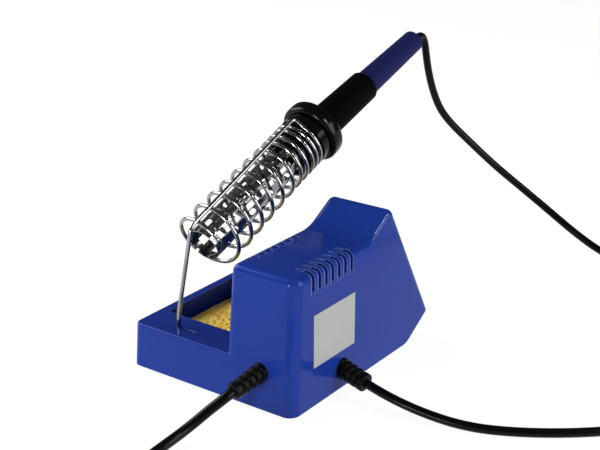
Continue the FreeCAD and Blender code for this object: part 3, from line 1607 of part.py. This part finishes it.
def finish():
    """Check every object and write one STEP file for each node."""
    doc.recompute()
    for item in doc.Objects:
        if "Invalid" in item.State or "Error" in item.State:
            raise RuntimeError(f"{item.Name}: {item.getStatusString()}")
    for item in nodes:
        if item.Shape.isNull() or not item.Shape.isValid():
            raise RuntimeError(f"{item.Label} has no valid shape")
    os.makedirs("parts", exist_ok=True)
    for item in nodes:
        item.Shape.exportStep(f"parts/{item.Label}.step")
        box = item.Shape.BoundBox
        print(f"{item.Label}: {len(item.Shape.Solids)} solid(s), {item.Shape.Volume:.1f} mm3, "
              f"x {box.XMin:.1f}..{box.XMax:.1f}, y {box.YMin:.1f}..{box.YMax:.1f}, "
              f"z {box.ZMin:.1f}..{box.ZMax:.1f}")


main()
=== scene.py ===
"""Soldering iron station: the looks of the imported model, in metres, in the frame of its record.

Rigid pieces keep their CAD meshes. The two leads, their boots, the holder's wire and collar, the
sponge and the printed marks are made here, in millimetres where a list of points or mm() says so.
"""
import math

import bpy
from mathutils import Matrix, Vector, noise


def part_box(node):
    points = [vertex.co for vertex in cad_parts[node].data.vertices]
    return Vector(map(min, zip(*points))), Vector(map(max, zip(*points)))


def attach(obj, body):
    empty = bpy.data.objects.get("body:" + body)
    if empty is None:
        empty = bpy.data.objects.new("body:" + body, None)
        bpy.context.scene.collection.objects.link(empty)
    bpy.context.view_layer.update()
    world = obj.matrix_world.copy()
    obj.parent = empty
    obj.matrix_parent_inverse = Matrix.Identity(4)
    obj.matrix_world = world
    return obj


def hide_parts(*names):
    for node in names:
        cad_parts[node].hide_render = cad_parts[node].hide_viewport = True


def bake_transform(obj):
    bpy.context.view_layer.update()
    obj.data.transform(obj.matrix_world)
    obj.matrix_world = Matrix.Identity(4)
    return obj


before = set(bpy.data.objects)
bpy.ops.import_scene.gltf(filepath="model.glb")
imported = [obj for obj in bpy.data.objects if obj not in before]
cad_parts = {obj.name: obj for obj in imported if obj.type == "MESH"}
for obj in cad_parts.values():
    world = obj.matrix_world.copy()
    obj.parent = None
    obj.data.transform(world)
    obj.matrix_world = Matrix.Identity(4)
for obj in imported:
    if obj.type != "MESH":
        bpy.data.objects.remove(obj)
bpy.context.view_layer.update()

MM = 0.001


def mm(*values):
    """A vector given in millimetres."""
    return Vector(values) * MM


# ---------------------------------------------------------------- camera and light

AZIMUTH = math.radians(215.9)
ELEVATION = math.radians(21.0)
DISTANCE = 0.791
SHIFT_RIGHT = 0.01174
SHIFT_UP = 0.02995
FOCAL_LENGTH = 77.9
SENSOR_WIDTH = 36
back = Vector((math.sin(AZIMUTH) * math.cos(ELEVATION), -math.cos(AZIMUTH) * math.cos(ELEVATION),
               math.sin(ELEVATION)))
right = Vector((math.cos(AZIMUTH), math.sin(AZIMUTH), 0))
up = back.cross(right)
target = mm(0, 58.2, 52.5)

scene = bpy.context.scene
camera = bpy.data.objects.new("camera", bpy.data.cameras.new("camera"))
scene.collection.objects.link(camera)
camera.data.lens = FOCAL_LENGTH
camera.data.sensor_width = SENSOR_WIDTH
camera.data.clip_start = 0.01
camera.data.clip_end = 50
camera.matrix_world = Matrix.Translation(
    target + back * DISTANCE + right * SHIFT_RIGHT + up * SHIFT_UP
) @ Matrix((right, up, back)).transposed().to_4x4()
scene.camera = camera
scene.render.resolution_x = 1200
scene.render.resolution_y = 900
scene.view_settings.view_transform = "Standard"
scene.view_settings.look = "None"


def area_light(name, place, size, power):
    """Rectangular lamp that faces the target."""
    data = bpy.data.lights.new(name, "AREA")
    data.shape = "RECTANGLE"
    data.size, data.size_y = size
    data.energy = power
    lamp = bpy.data.objects.new(name, data)
    lamp.location = place
    lamp.rotation_euler = (place - target).to_track_quat("Z", "Y").to_euler()
    scene.collection.objects.link(lamp)


area_light("key", target + mm(60, 1040, 60), (0.2, 0.24), 7.2)
area_light("side", target + mm(-1100, -200, 260), (0.9, 0.8), 13)
area_light("edge", target + mm(-700, -150, 700), (0.08, 0.2), 1.8)
area_light("tray", target + mm(925, 225, 580), (0.9, 0.8), 17.5)

world = bpy.data.worlds.new("studio")
scene.world = world
world.use_nodes = True
world.node_tree.nodes["Background"].inputs["Color"].default_value = (1, 1, 1, 1)
world.node_tree.nodes["Background"].inputs["Strength"].default_value = 0.10


# ---------------------------------------------------------------- materials

# How far a rounded normal turns from its face, as a cosine, where the painted edge highlight
# starts and is full.
GLINT_START, GLINT_FULL = 0.96, 0.86


class Nodes:
    """Small helper for one material's node tree."""

    def __init__(self, name):
        self.material = bpy.data.materials.new(name)
        self.material.use_nodes = True
        self.tree = self.material.node_tree
        self.shader = self.tree.nodes["Principled BSDF"]
        self.coords = self.tree.nodes.new("ShaderNodeTexCoord").outputs["Object"]

    def link(self, source, target_socket):
        self.tree.links.new(source, target_socket)

    def noise(self, scale, detail=4, roughness=0.5, coords=None):
        node = self.tree.nodes.new("ShaderNodeTexNoise")
        node.inputs["Scale"].default_value = scale
        node.inputs["Detail"].default_value = detail
        node.inputs["Roughness"].default_value = roughness
        self.link(coords or self.coords, node.inputs["Vector"])
        return node.outputs["Fac"]

    def cells(self, scale):
        node = self.tree.nodes.new("ShaderNodeTexVoronoi")
        node.inputs["Scale"].default_value = scale
        self.link(self.coords, node.inputs["Vector"])
        return node.outputs["Distance"]

    def ramp(self, factor, *stops):
        node = self.tree.nodes.new("ShaderNodeValToRGB")
        elements = node.color_ramp.elements
        while len(elements) < len(stops):
            elements.new(0.5)
        for element, (place, colour) in zip(elements, stops):
            element.position = place
            element.color = (*colour, 1)
        self.link(factor, node.inputs["Fac"])
        return node.outputs["Color"]

    def span(self, factor, low, high, out_low, out_high):
        node = self.tree.nodes.new("ShaderNodeMapRange")
        for name, value in (("From Min", low), ("From Max", high), ("To Min", out_low),
                            ("To Max", out_high)):
            node.inputs[name].default_value = value
        self.link(factor, node.inputs["Value"])
        return node.outputs["Result"]

    def bump(self, height, strength, distance, below=None):
        node = self.tree.nodes.new("ShaderNodeBump")
        node.inputs["Strength"].default_value = strength
        node.inputs["Distance"].default_value = distance
        self.link(height, node.inputs["Height"])
        if below is not None:
            self.link(below, node.inputs["Normal"])
        return node.outputs["Normal"]

    def rounded(self, radius):
        """A normal that turns smoothly over sharp edges."""
        node = self.tree.nodes.new("ShaderNodeBevel")
        node.samples = 6
        node.inputs["Radius"].default_value = radius
        return node.outputs["Normal"]

    def painted_edge_highlight(self, colour, light, radius, amount):
        """The colour, lighter in a thin line along sharp edges: a highlight painted into the
        colour.
        """
        turned = self.tree.nodes.new("ShaderNodeVectorMath")
        turned.operation = "DOT_PRODUCT"
        self.link(self.rounded(radius), turned.inputs[0])
        face = self.tree.nodes.new("ShaderNodeNewGeometry")
        self.link(face.outputs["Normal"], turned.inputs[1])
        mix = self.tree.nodes.new("ShaderNodeMix")
        mix.data_type = "RGBA"
        edge = self.span(turned.outputs["Value"], GLINT_START, GLINT_FULL, 0, amount)
        self.link(edge, mix.inputs["Factor"])
        self.link(colour, mix.inputs["A"])
        mix.inputs["B"].default_value = (*light, 1)
        return mix.outputs["Result"]

    def set(self, **values):
        for name, value in values.items():
            socket = self.shader.inputs[name.replace("_", " ")]
            if isinstance(value, bpy.types.NodeSocket):
                self.link(value, socket)
            else:
                socket.default_value = value
        return self.material


def shades(colour, spread):
    """A darker and a lighter version of a colour."""
    return (tuple(c * (1 - spread) for c in colour),
            tuple(min(1, c * (1 + spread)) for c in colour))


def moulded(name, colour, rough, grain=1800, depth=0.00004, coat=0.0, specular=0.5,
            edge=0.0, edge_highlight_colour=None):
    """Moulded plastic with a fine grain and faint wear in its gloss.

    edge rounds how sharp edges shade, and the edge colour is a highlight painted along them.
    """
    n = Nodes(name)
    dark, light = shades(colour, 0.06)
    base = n.ramp(n.noise(14, 5, 0.6), (0.3, dark), (0.7, light))
    # Painted highlight: sharp edges lighter in the base colour.
    if edge_highlight_colour:
        base = n.painted_edge_highlight(base, edge_highlight_colour, edge, 0.8)
    gloss = n.span(n.noise(55, 6, 0.65), 0.3, 0.7, rough * 0.85, rough * 1.2)
    below = n.rounded(edge) if edge else None
    normal = n.bump(n.noise(grain, 3, 0.6), 0.25, depth, below)
    return n.set(Base_Color=base, Roughness=gloss, Normal=normal, Coat_Weight=coat,
                 Coat_Roughness=0.12, Specular_IOR_Level=specular)


def metal(name, colour, rough, streak=(400, 400, 20), strength=0.15):
    """Metal with fine drawing streaks along one axis."""
    n = Nodes(name)
    mapping = n.tree.nodes.new("ShaderNodeMapping")
    mapping.inputs["Scale"].default_value = streak
    n.link(n.coords, mapping.inputs["Vector"])
    lines = n.noise(4, 6, 0.6, mapping.outputs["Vector"])
    dark, light = shades(colour, 0.08)
    base = n.ramp(lines, (0.3, dark), (0.7, light))
    gloss = n.span(n.noise(120, 4, 0.6), 0.3, 0.7, rough * 0.7, rough * 1.4)
    return n.set(Base_Color=base, Roughness=gloss, Metallic=1.0,
                 Normal=n.bump(lines, strength, 0.00003))


# Painted highlight: the blue's sharp edges, the vents' among them, are a lighter blue.
blue = moulded("blue_plastic", (0.008, 0.027, 0.200), 0.15, coat=0.17, specular=0.04,
               edge=0.0010, edge_highlight_colour=(0.19, 0.29, 0.76))
navy = moulded("handle_plastic", (0.0095, 0.0120, 0.062), 0.5, specular=0.03)
black = moulded("black_plastic", (0.002, 0.002, 0.003), 0.13, coat=0.04, specular=0.10)
satin_black = moulded("satin_black", (0.004, 0.004, 0.005), 0.42, specular=0.12)
rubber = moulded("rubber", (0.003, 0.003, 0.003), 0.34, grain=2600, depth=0.00006, specular=0.06)
foam_black = moulded("grip_rubber", (0.0012, 0.0012, 0.0015), 0.6, grain=2600, specular=0.02)
cable = moulded("cable_jacket", (0.002, 0.002, 0.003), 0.24, grain=1500, depth=0.00003,
                specular=0.10)
label_film = moulded("label_film", (0.305, 0.314, 0.31), 0.34, grain=900, depth=0.00001,
                     specular=0.12)
ceramic = moulded("ceramic", (0.70, 0.69, 0.65), 0.5)
board_green = moulded("board_laminate", (0.02, 0.14, 0.05), 0.4)
varnish = moulded("winding_tape", (0.30, 0.11, 0.03), 0.45)
chrome = metal("chrome", (0.30, 0.30, 0.31), 0.09, strength=0.02)
sheet_steel = metal("sheet_steel", (0.25, 0.255, 0.26), 0.15, strength=0.02)
steel = metal("steel", (0.55, 0.55, 0.57), 0.26)
tin = metal("tinned_copper", (0.62, 0.62, 0.62), 0.22)
brass = metal("plated_brass", (0.70, 0.62, 0.40), 0.24)
laminations = metal("laminations", (0.16, 0.16, 0.17), 0.4, streak=(1500, 30, 30))
print_white = moulded("print_white", (0.72, 0.72, 0.70), 0.5)
lamp_red = moulded("lamp_red", (0.45, 0.02, 0.01), 0.15, coat=0.5)


def sponge_material():
    """Golden cellulose with large and small pores, the pits darkened with painted shade."""
    n = Nodes("sponge_foam")
    pits = n.cells(330)
    pores = n.cells(800)
    colour = n.ramp(n.noise(60, 6, 0.7), (0.30, (0.86, 0.40, 0.04)), (0.5, (1.0, 0.66, 0.12)),
                    (0.75, (1.0, 0.80, 0.24)))
    # Painted shade: the pits darker and a deeper orange, multiplied into the colour.
    pit_shade = n.ramp(pits, (0.10, (0.62, 0.22, 0.02)), (0.30, (1, 1, 1)))
    mix = n.tree.nodes.new("ShaderNodeMix")
    mix.data_type = "RGBA"
    mix.blend_type = "MULTIPLY"
    mix.inputs["Factor"].default_value = 0.8
    n.link(colour, mix.inputs["A"])
    n.link(pit_shade, mix.inputs["B"])
    below = n.bump(pores, 0.5, 0.0004)
    return n.set(Base_Color=mix.outputs["Result"], Roughness=0.92,
                 Normal=n.bump(pits, 0.9, 0.0012, below), Specular_IOR_Level=0.2)


sponge_foam = sponge_material()

CAD_LOOKS = {
    "upper_housing": blue, "base_plate": satin_black, "base_screws": steel,
    "rubber_feet": rubber, "rating_label": label_film,
    "control_panel": satin_black, "temperature_knob": black, "potentiometer": satin_black,
    "potentiometer_shaft": steel, "potentiometer_nut": steel, "indicator_lamp": lamp_red,
    "switch_frame": black, "power_rocker": black, "control_board": board_green,
    "board_components": satin_black, "transformer_core": laminations,
    "transformer_winding": varnish, "transformer_bracket": steel, "transformer_screws": steel,
    "holder_liner": sheet_steel, "iron_handle": navy,
    "grip_sleeve": foam_black, "iron_nose": satin_black, "iron_barrel": steel,
    "heating_element": ceramic, "soldering_tip": tin, "tip_nut": steel,
    "mains_tie": rubber, "iron_tie": rubber, "mains_plug": satin_black, "plug_pins": brass,
}
for node, material in CAD_LOOKS.items():
    for material_slot in bpy.data.objects[node].material_slots:
        material_slot.material = material


# ---------------------------------------------------------------- mesh helpers

def add_mesh(name, points, faces, material, body, smooth=True):
    """A new piece that rides with its body, or with none where no body is given."""
    mesh = bpy.data.meshes.new(name)
    mesh.from_pydata(points, [], faces)
    mesh.validate()
    mesh.update()
    obj = bpy.data.objects.new(name, mesh)
    scene.collection.objects.link(obj)
    obj.data.materials.append(material)
    if smooth:
        mesh.polygons.foreach_set("use_smooth", [True] * len(mesh.polygons))
    if body:
        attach(obj, body)
    return obj


def tube(name, path, radius, material, body, sides=12):
    """Round tube along points; radius is one number or one per point."""
    radii = radius if isinstance(radius, list) else [radius] * len(path)
    ahead = (path[1] - path[0]).normalized()
    across = ahead.orthogonal().normalized()
    points, faces = [], []
    for number, place in enumerate(path):
        after = path[min(number + 1, len(path) - 1)]
        before = path[max(number - 1, 0)]
        ahead = (after - before).normalized()
        across = (across - ahead * across.dot(ahead)).normalized()
        other = ahead.cross(across)
        for side in range(sides):
            angle = 2 * math.pi * side / sides
            spoke = across * math.cos(angle) + other * math.sin(angle)
            points.append(place + spoke * radii[number])
        if number:
            for side in range(sides):
                a = (number - 1) * sides + side
                b = (number - 1) * sides + (side + 1) % sides
                faces.append((a, b, b + sides, a + sides))
    last = len(points) - sides
    faces.append(tuple(reversed(range(sides))))
    faces.append(tuple(range(last, last + sides)))
    return add_mesh(name, points, faces, material, body)


def spline_points(name, route):
    """Points of the smooth curve whose control points are the route, in metres."""
    data = bpy.data.curves.new(name, "CURVE")
    data.dimensions = "3D"
    data.resolution_u = 6
    spline = data.splines.new("NURBS")
    spline.points.add(len(route) - 1)
    for point, place in zip(spline.points, route):
        point.co = (*place, 1)
    spline.order_u = 3
    spline.use_endpoint_u = True
    obj = bpy.data.objects.new(name, data)
    scene.collection.objects.link(obj)
    bpy.context.view_layer.update()
    mesh = bpy.data.meshes.new_from_object(obj)
    points = [vertex.co.copy() for vertex in mesh.vertices]
    bpy.data.objects.remove(obj)
    bpy.data.meshes.remove(mesh)
    return points


def length_of(points):
    """Length of the line through some points."""
    return sum((b - a).length for a, b in zip(points, points[1:]))


# ---------------------------------------------------------------- leads

IRON_LEAD = 0.0054
MAINS_LEAD = 0.0060
COIL_LIFT = 1.0

# Control points of the leads' routes, mm. A coil comes before the last list of each lead.

hanging = [
    (21.0, -126.6, 160.6), (20.7, -134.7, 163.4), (20.4, -140.0, 156.6), (20.2, -142.0, 147.4),
    (20.0, -145.6, 134.8), (19.4, -151.6, 119.6), (17.0, -159.0, 104.0), (12.0, -167.3, 91.8),
    (0.5, -180.0, 75.0), (-14.0, -190.5, 58.0), (-33.0, -198.0, 42.5), (-54.0, -202.0, 28.0),
    (-76.0, -203.5, 14.2), (-97.0, -203.0, 4.6), (-117.0, -197.4, 2.9),
]
across_floor = [
    (-136.5, -191.6, 2.9), (-152.0, -178.4, 2.9), (-161.8, -158.6, 2.9), (-166.2, -134.4, 3.2),
    (-167.0, -108.0, 3.7),
]
to_the_gland = [
    (-176.4, -72.8, 9.1), (-185.0, -58.2, 7.0), (-199.4, -39.8, 4.2), (-211.6, -21.8, 2.9),
    (-219.0, -2.4, 2.9), (-218.0, 16.8, 2.9), (-210.6, 31.6, 2.9), (-199.2, 42.6, 2.9),
    (-186.9, 52.6, 2.9), (-173.9, 61.6, 2.9), (-161.2, 68.9, 2.9), (-148.6, 74.4, 2.9),
    (-135.0, 77.9, 3.2), (-121.4, 80.1, 4.4), (-108.1, 82.1, 6.6), (-95.2, 82.7, 8.9),
    (-84.8, 82.0, 10.7), (-77.4, 80.9, 11.8),
]
mains_out = [
    (-33.18, 146.85, 20.94), (-32.5, 150.9, 20.0), (-30.2, 155.2, 17.2), (-27.1, 161.3, 13.5),
    (-23.9, 169.0, 9.0), (-21.2, 178.0, 5.2), (-20.2, 189.8, 3.4), (-21.0, 203.0, 3.1),
    (-22.2, 215.6, 3.4), (-22.3, 226.0, 3.9),
]
to_the_plug = [
    (-88.6, 268.6, 10.6), (-97.4, 262.6, 10.2), (-105.6, 255.4, 9.0), (-112.0, 249.0, 7.4),
]


def ease(value, low, high):
    """Smooth step from 0 to 1 between two values."""
    share = min(1, max(0, (value - low) / (high - low)))
    return share * share * (3 - 2 * share)


def wound(centre, diameter, outer, rows, total, per_turn=15):
    """Turns of a two-layer coil, mm: inwards on the floor, up, and outwards on top.

    total is the whole angle in degrees. The lead changes place over 60 degrees of a turn.
    """
    step = total / round(total * per_turn / 360)
    drawn_in = math.cos(math.radians(step / 2))

    def moved(angle, start, row):
        return ease(angle, start + 360 * row, start + 60 + 360 * row)

    angle = 0
    route = []
    while angle <= total + 0.001:
        inward = sum(moved(angle, 270, row) for row in range(rows - 1))
        rise = moved(angle, 210, rows - 1)
        outward = sum(moved(angle, 150, rows + row) for row in range(rows - 1))
        reach = (outer - (inward - outward) * diameter) / drawn_in
        turn = math.radians(angle)
        route.append((centre[0] + reach * math.cos(turn), centre[1] + reach * math.sin(turn),
                      COIL_LIFT + diameter / 2 + rise * diameter))
        angle += step
    return route


iron_turns = wound(centre=(-200, -95), diameter=5.4, outer=32.7, rows=2, total=1104)
mains_turns = wound(centre=(-64.5, 236), diameter=6.0, outer=41.0, rows=3, total=1908)

iron_route = [mm(*p) for p in hanging + across_floor + iron_turns + to_the_gland]
mains_route = [mm(*p) for p in mains_out + mains_turns + to_the_plug]

iron_line = spline_points("iron_line", iron_route)
iron_lead = tube("iron_lead", iron_line, IRON_LEAD / 2, cable, None)
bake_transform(iron_lead)
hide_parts("iron_lead_hanging", "iron_lead_floor", "iron_lead_return", "iron_coil")

mains_line = spline_points("mains_line", mains_route)
mains_cord = tube("mains_cord", mains_line, MAINS_LEAD / 2, cable, "station")
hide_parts("mains_lead", "mains_coil", "plug_lead")

BOOT_RINGS = 5
RING_STEPS = 16
GROOVE_DEPTH = 0.24
GROOVE_WIDTH = 0.12
RING_SWELL = 0.03
SEATED = 0.003
ROUNDED_TIP = ((0.0003, 0.96), (0.0006, 0.86), (0.0007, 0.70))


def boot(name, node, base, tip, start, end):
    """Strain relief of round rings with narrow grooves between, tapering to its cord.

    Depths and widths of the rings are shares of the boot's radius and of a ring's length.
    """
    ahead = (tip - base).normalized()
    root = base - ahead * SEATED
    length = (tip - root).length
    steps = BOOT_RINGS * RING_STEPS
    path, radii = [], []
    for step in range(steps + 1):
        share = step / steps
        ring = share * BOOT_RINGS
        from_groove = abs(ring - round(ring)) if 0.5 < ring < BOOT_RINGS - 0.5 else 0.5
        body = start + (end - start) * share
        swell = 1 - RING_SWELL * (1 - 2 * from_groove) ** 2
        cut = 1 - GROOVE_DEPTH * math.exp(-((from_groove / GROOVE_WIDTH) ** 2))
        path.append(root + ahead * length * share)
        radii.append(body * swell * cut)
    for beyond, share in ROUNDED_TIP:
        path.append(tip + ahead * beyond)
        radii.append(end * share)
    piece = tube(name, path, radii, rubber, "station", sides=32)
    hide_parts(node)
    return piece


iron_boot = boot("iron_boot", "iron_strain_relief", mm(-60, 79.2, 15.5), mm(-77.4, 80.9, 11.8),
                 0.0062, 0.0056)
mains_boot = boot("mains_boot", "mains_strain_relief", mm(-36.5, 127.05, 25.5),
                  mm(*mains_out[0]), 0.0058, 0.0050)

print("iron lead", round(length_of(iron_line), 4), "mains cord", round(length_of(mains_line), 4))


# ---------------------------------------------------------------- wire holder

# The holder's own frame: z runs up the coil's middle from its wide open end.
HOLDER = Matrix(((0.99918, 0.01598, -0.03718, 0.030), (-0.04048, 0.39424, -0.91812, 0.0945),
                 (0.0, 0.91888, 0.39458, 0.0762), (0, 0, 0, 1)))
WIRE_RADIUS = 1.3
COIL_START = -1.65
COIL_LENGTH = 81.38
COIL_PITCHES = ((13.2, 2), (11.57, 4), (8.7, 1), (6.25, 2), (4.35, 3))
WIDE_RADIUS = 19.3
NARROW_RADIUS = 16.2
FIRST_ANGLE = 154.5
TURNS = 11 + 29.5 / 360
COIL_STEPS = 420
RUN_X = -0.9
RUN_END = Vector((-4.4, 21.95, -6.8))
LEG_TOP = mm(31.7, 116.9, 38.4)
LEG_FOOT = mm(31.7, 116.9, 17.9)


def coil_place(turns):
    """Middle of the wire in the holder's frame, mm, after some turns."""
    along, left = COIL_START, turns
    for pitch, count in COIL_PITCHES:
        part = min(left, count)
        along += pitch * part
        left -= part
    taper = min(1, (along - COIL_START) / COIL_LENGTH)
    radius = WIDE_RADIUS - (WIDE_RADIUS - NARROW_RADIUS) * taper
    angle = math.radians(FIRST_ANGLE - 360 * turns)
    return Vector((radius * math.cos(angle), radius * math.sin(angle), along))


def bent(points, radii):
    """Runs between points with round bends, mm."""
    steps = 8
    path = [points[0]]
    for before, corner, after, radius in zip(points, points[1:], points[2:], radii):
        back_way = (before - corner).normalized()
        ahead = (after - corner).normalized()
        half = (math.pi - back_way.angle(ahead)) / 2
        centre = corner + (back_way + ahead).normalized() * radius / math.cos(half)
        enter = corner + back_way * radius * math.tan(half) - centre
        leave = corner + ahead * radius * math.tan(half) - centre
        for step in range(steps + 1):
            spoke = enter.normalized().slerp(leave.normalized(), step / steps)
            path.append(centre + spoke * radius)
    path.append(points[-1])
    return path


wound_wire = [coil_place(TURNS * step / COIL_STEPS) for step in range(COIL_STEPS + 1)]
last = wound_wire[-1]
heading = (wound_wire[-1] - wound_wire[-2]).normalized()
run_start = last + heading * ((RUN_X - last.x) / heading.x)
to_local = HOLDER.inverted()
upright = to_local @ LEG_TOP / MM
foot = to_local @ LEG_FOOT / MM
leg_line = bent([last, run_start, RUN_END, upright, foot], [3, 6, 12])
wire_line = [HOLDER @ (place * MM) for place in wound_wire + leg_line[1:]]
wire = tube("holder_wire", wire_line, WIRE_RADIUS * MM, chrome, "station", sides=14)
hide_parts("holder_coil", "holder_leg")


def revolved(name, profile, place, material, body):
    """Ring turned from a closed profile of (radius, along) points, mm, about a place's z axis."""
    sides = 72
    points, faces = [], []
    rim = len(profile)
    for side in range(sides):
        angle = 2 * math.pi * side / sides
        for radius, along in profile:
            points.append(place @ mm(radius * math.cos(angle), radius * math.sin(angle), along))
        after = (side + 1) % sides
        for number in range(rim):
            following = (number + 1) % rim
            faces.append((side * rim + number, after * rim + number,
                          after * rim + following, side * rim + following))
    obj = add_mesh(name, points, faces, material, body)
    obj.data.set_sharp_from_angle(angle=math.radians(35))
    return obj


collar = revolved("collar_ring", [
    (11.0, 88.0), (14.8, 88.0), (14.8, 103.2), (17.0, 103.2), (17.3, 103.6), (17.3, 109.2),
    (16.4, 109.5), (16.4, 110.6), (18.6, 110.6), (19.3, 110.8), (20.0, 111.3), (20.4, 111.9),
    (20.6, 112.6), (20.6, 118.2), (20.4, 119.0), (20.0, 119.7), (19.4, 120.1), (18.7, 120.3),
    (13.3, 120.3), (11.7, 108.0), (11.0, 108.0),
], HOLDER, black, "station")
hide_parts("holder_collar")


# ---------------------------------------------------------------- sponge

WAVE_DEPTH, WAVE_SCALE = 0.0007, 90
PIT_DEPTH, PIT_SCALE, PIT_REACH = 0.0011, 330, 0.42


def foam_block(name, low, high, corner, spacing, material):
    """Rounded block on an even grid, its skin sunk into pits and low waves."""
    counts = [round((b - a) / spacing) for a, b in zip(low, high)]
    known, points, faces = {}, [], []

    def vertex(cell):
        if cell not in known:
            place = Vector([a + (b - a) * c / n for a, b, c, n in zip(low, high, cell, counts)])
            inner = Vector([min(max(p, a + corner), b - corner)
                            for p, a, b in zip(place, low, high)])
            outward = (place - inner).normalized()
            wave = 0.5 + 0.5 * noise.noise(place * WAVE_SCALE)
            pit = max(0, 1 - noise.voronoi(place * PIT_SCALE)[0][0] / PIT_REACH)
            known[cell] = len(points)
            points.append(inner + outward * (corner - WAVE_DEPTH * wave - PIT_DEPTH * pit))
        return known[cell]

    for axis in range(3):
        u, v = (axis + 1) % 3, (axis + 2) % 3
        for end in (0, counts[axis]):
            for i in range(counts[u]):
                for j in range(counts[v]):
                    ring = []
                    for di, dj in ((0, 0), (1, 0), (1, 1), (0, 1)):
                        cell = [0, 0, 0]
                        cell[axis], cell[u], cell[v] = end, i + di, j + dj
                        ring.append(vertex(tuple(cell)))
                    faces.append(tuple(ring if end else reversed(ring)))
    return add_mesh(name, points, faces, material, "sponge")


sponge_low, sponge_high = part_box("sponge")
foam = foam_block("sponge_foam_block", sponge_low, sponge_high, 0.0035, 0.0009, sponge_foam)
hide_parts("sponge")


# ---------------------------------------------------------------- marks on the front

# Directions on the sloping panel, and half the thickness of the print.
ACROSS = Vector((1, 0, 0))
UPWARD = Vector((0, 0.492, 0.8706))
OUTWARD = ACROSS.cross(UPWARD)
PRINT = 0.00004

TICKS = 13
TICK_ANGLE = 22.5
FIRST_TICK = -135
NUMBERED = 4
TICK_WIDTH = 0.00035
SHORT_TICK, SHORT_REACH = 0.0010, 0.0124
LONG_TICK, LONG_REACH = 0.0017, 0.0127
NUMBER_REACH = 0.0157
LOWEST_NUMBER, NUMBER_STEP = 150, 25


class Print:
    """Thin printed marks gathered into one piece."""

    def __init__(self):
        self.points, self.faces = [], []

    def add(self, points, faces, place, across, upward):
        """Points and faces drawn in the plane of two directions at a place."""
        outward = across.cross(upward)
        first = len(self.points)
        self.points += [place + across * x + upward * y + outward * z for x, y, z in points]
        self.faces += [tuple(first + number for number in face) for face in faces]

    def bar(self, place, across, upward, width, height):
        """A flat rectangular mark."""
        x, y, z = width / 2, height / 2, PRINT
        corners = [(a, b, c) for c in (-z, z) for a, b in ((-x, -y), (x, -y), (x, y), (-x, y))]
        sides = [(n, (n + 1) % 4, (n + 1) % 4 + 4, n + 4) for n in range(4)]
        self.add(corners, [(3, 2, 1, 0), (4, 5, 6, 7)] + sides, place, across, upward)

    def word(self, text, place, across, upward, size):
        """A number or letter."""
        data = bpy.data.curves.new("word", "FONT")
        data.body = text
        data.size = size
        data.align_x, data.align_y = "CENTER", "CENTER"
        data.extrude = PRINT
        data.resolution_u = 3
        obj = bpy.data.objects.new("word", data)
        scene.collection.objects.link(obj)
        bpy.context.view_layer.update()
        mesh = bpy.data.meshes.new_from_object(obj)
        self.add([tuple(v.co) for v in mesh.vertices], [tuple(p.vertices) for p in mesh.polygons],
                 place, across, upward)
        bpy.data.objects.remove(obj)
        bpy.data.meshes.remove(mesh)

    def piece(self, name, body, slot_name):
        return add_mesh(name, self.points, self.faces, print_white, body, smooth=False)


def surface(node, place, outward):
    """The point of a piece's skin straight below a place."""
    obj = bpy.data.objects[node]
    into = obj.matrix_world.inverted()
    spot = obj.ray_cast(into @ (place + outward * 0.05), into.to_3x3() @ -outward)[1]
    return obj.matrix_world @ spot


knob_middle = mm(-36, 5.81, 61.46)
dial = Print()
for step in range(TICKS):
    turn = math.radians(FIRST_TICK + TICK_ANGLE * step)
    spoke = ACROSS * math.sin(turn) + UPWARD * math.cos(turn)
    long_mark = step % NUMBERED == 0
    middle = knob_middle + spoke * (LONG_REACH if long_mark else SHORT_REACH)
    dial.bar(surface("control_panel", middle, OUTWARD), spoke.cross(OUTWARD), spoke,
             TICK_WIDTH, LONG_TICK if long_mark else SHORT_TICK)
    if long_mark:
        beyond = surface("control_panel", knob_middle + spoke * NUMBER_REACH, OUTWARD)
        dial.word(str(LOWEST_NUMBER + NUMBER_STEP * step), beyond, ACROSS, UPWARD, 0.0024)
dial.piece("dial_marks", "station", "panel")

pointer = Print()
pointer.bar(surface("temperature_knob", knob_middle + UPWARD * 0.0065, OUTWARD), ACROSS, UPWARD,
            0.0009, 0.0050)
pointer.piece("knob_pointer", "knob", "black_knob")

rocker_middle = mm(-36, -7.05, 34.27)
# The rocker's face is tilted by ten degrees at rest, and each half slopes from its middle.
tilted_up = UPWARD * 0.985 + OUTWARD * 0.174
tilted_out = ACROSS.cross(tilted_up)
switch_marks = Print()
for half, sign in (("I", 1), ("O", -1)):
    slope = (tilted_up * 7.29 + tilted_out * 1.4 * sign).normalized()
    switch_marks.word(half, surface("power_rocker", rocker_middle + tilted_up * 0.0042 * sign,
                                    tilted_out), ACROSS, slope, 0.0030)
switch_marks.piece("switch_marks", "rocker", "black_knob")


# ---------------------------------------------------------------- floor

def paper():
    """White paper sweep that glows a little, as an overexposed ground does."""
    n = Nodes("floor_paper")
    tint = n.ramp(n.noise(9, 3, 0.5), (0.3, (0.115, 0.115, 0.115)), (0.7, (0.125, 0.125, 0.125)))
    return n.set(Base_Color=tint, Roughness=0.9, Specular_IOR_Level=0.05,
                 Emission_Color=(1, 1, 1, 1), Emission_Strength=0.93)


FLOOR = 6
floor_mesh = bpy.data.meshes.new("floor")
floor_mesh.from_pydata([(-FLOOR, -FLOOR, 0), (FLOOR, -FLOOR, 0), (FLOOR, FLOOR, 0),
                        (-FLOOR, FLOOR, 0)], [], [(0, 1, 2, 3)])
floor = bpy.data.objects.new("floor", floor_mesh)
scene.collection.objects.link(floor)
floor.data.materials.append(paper())
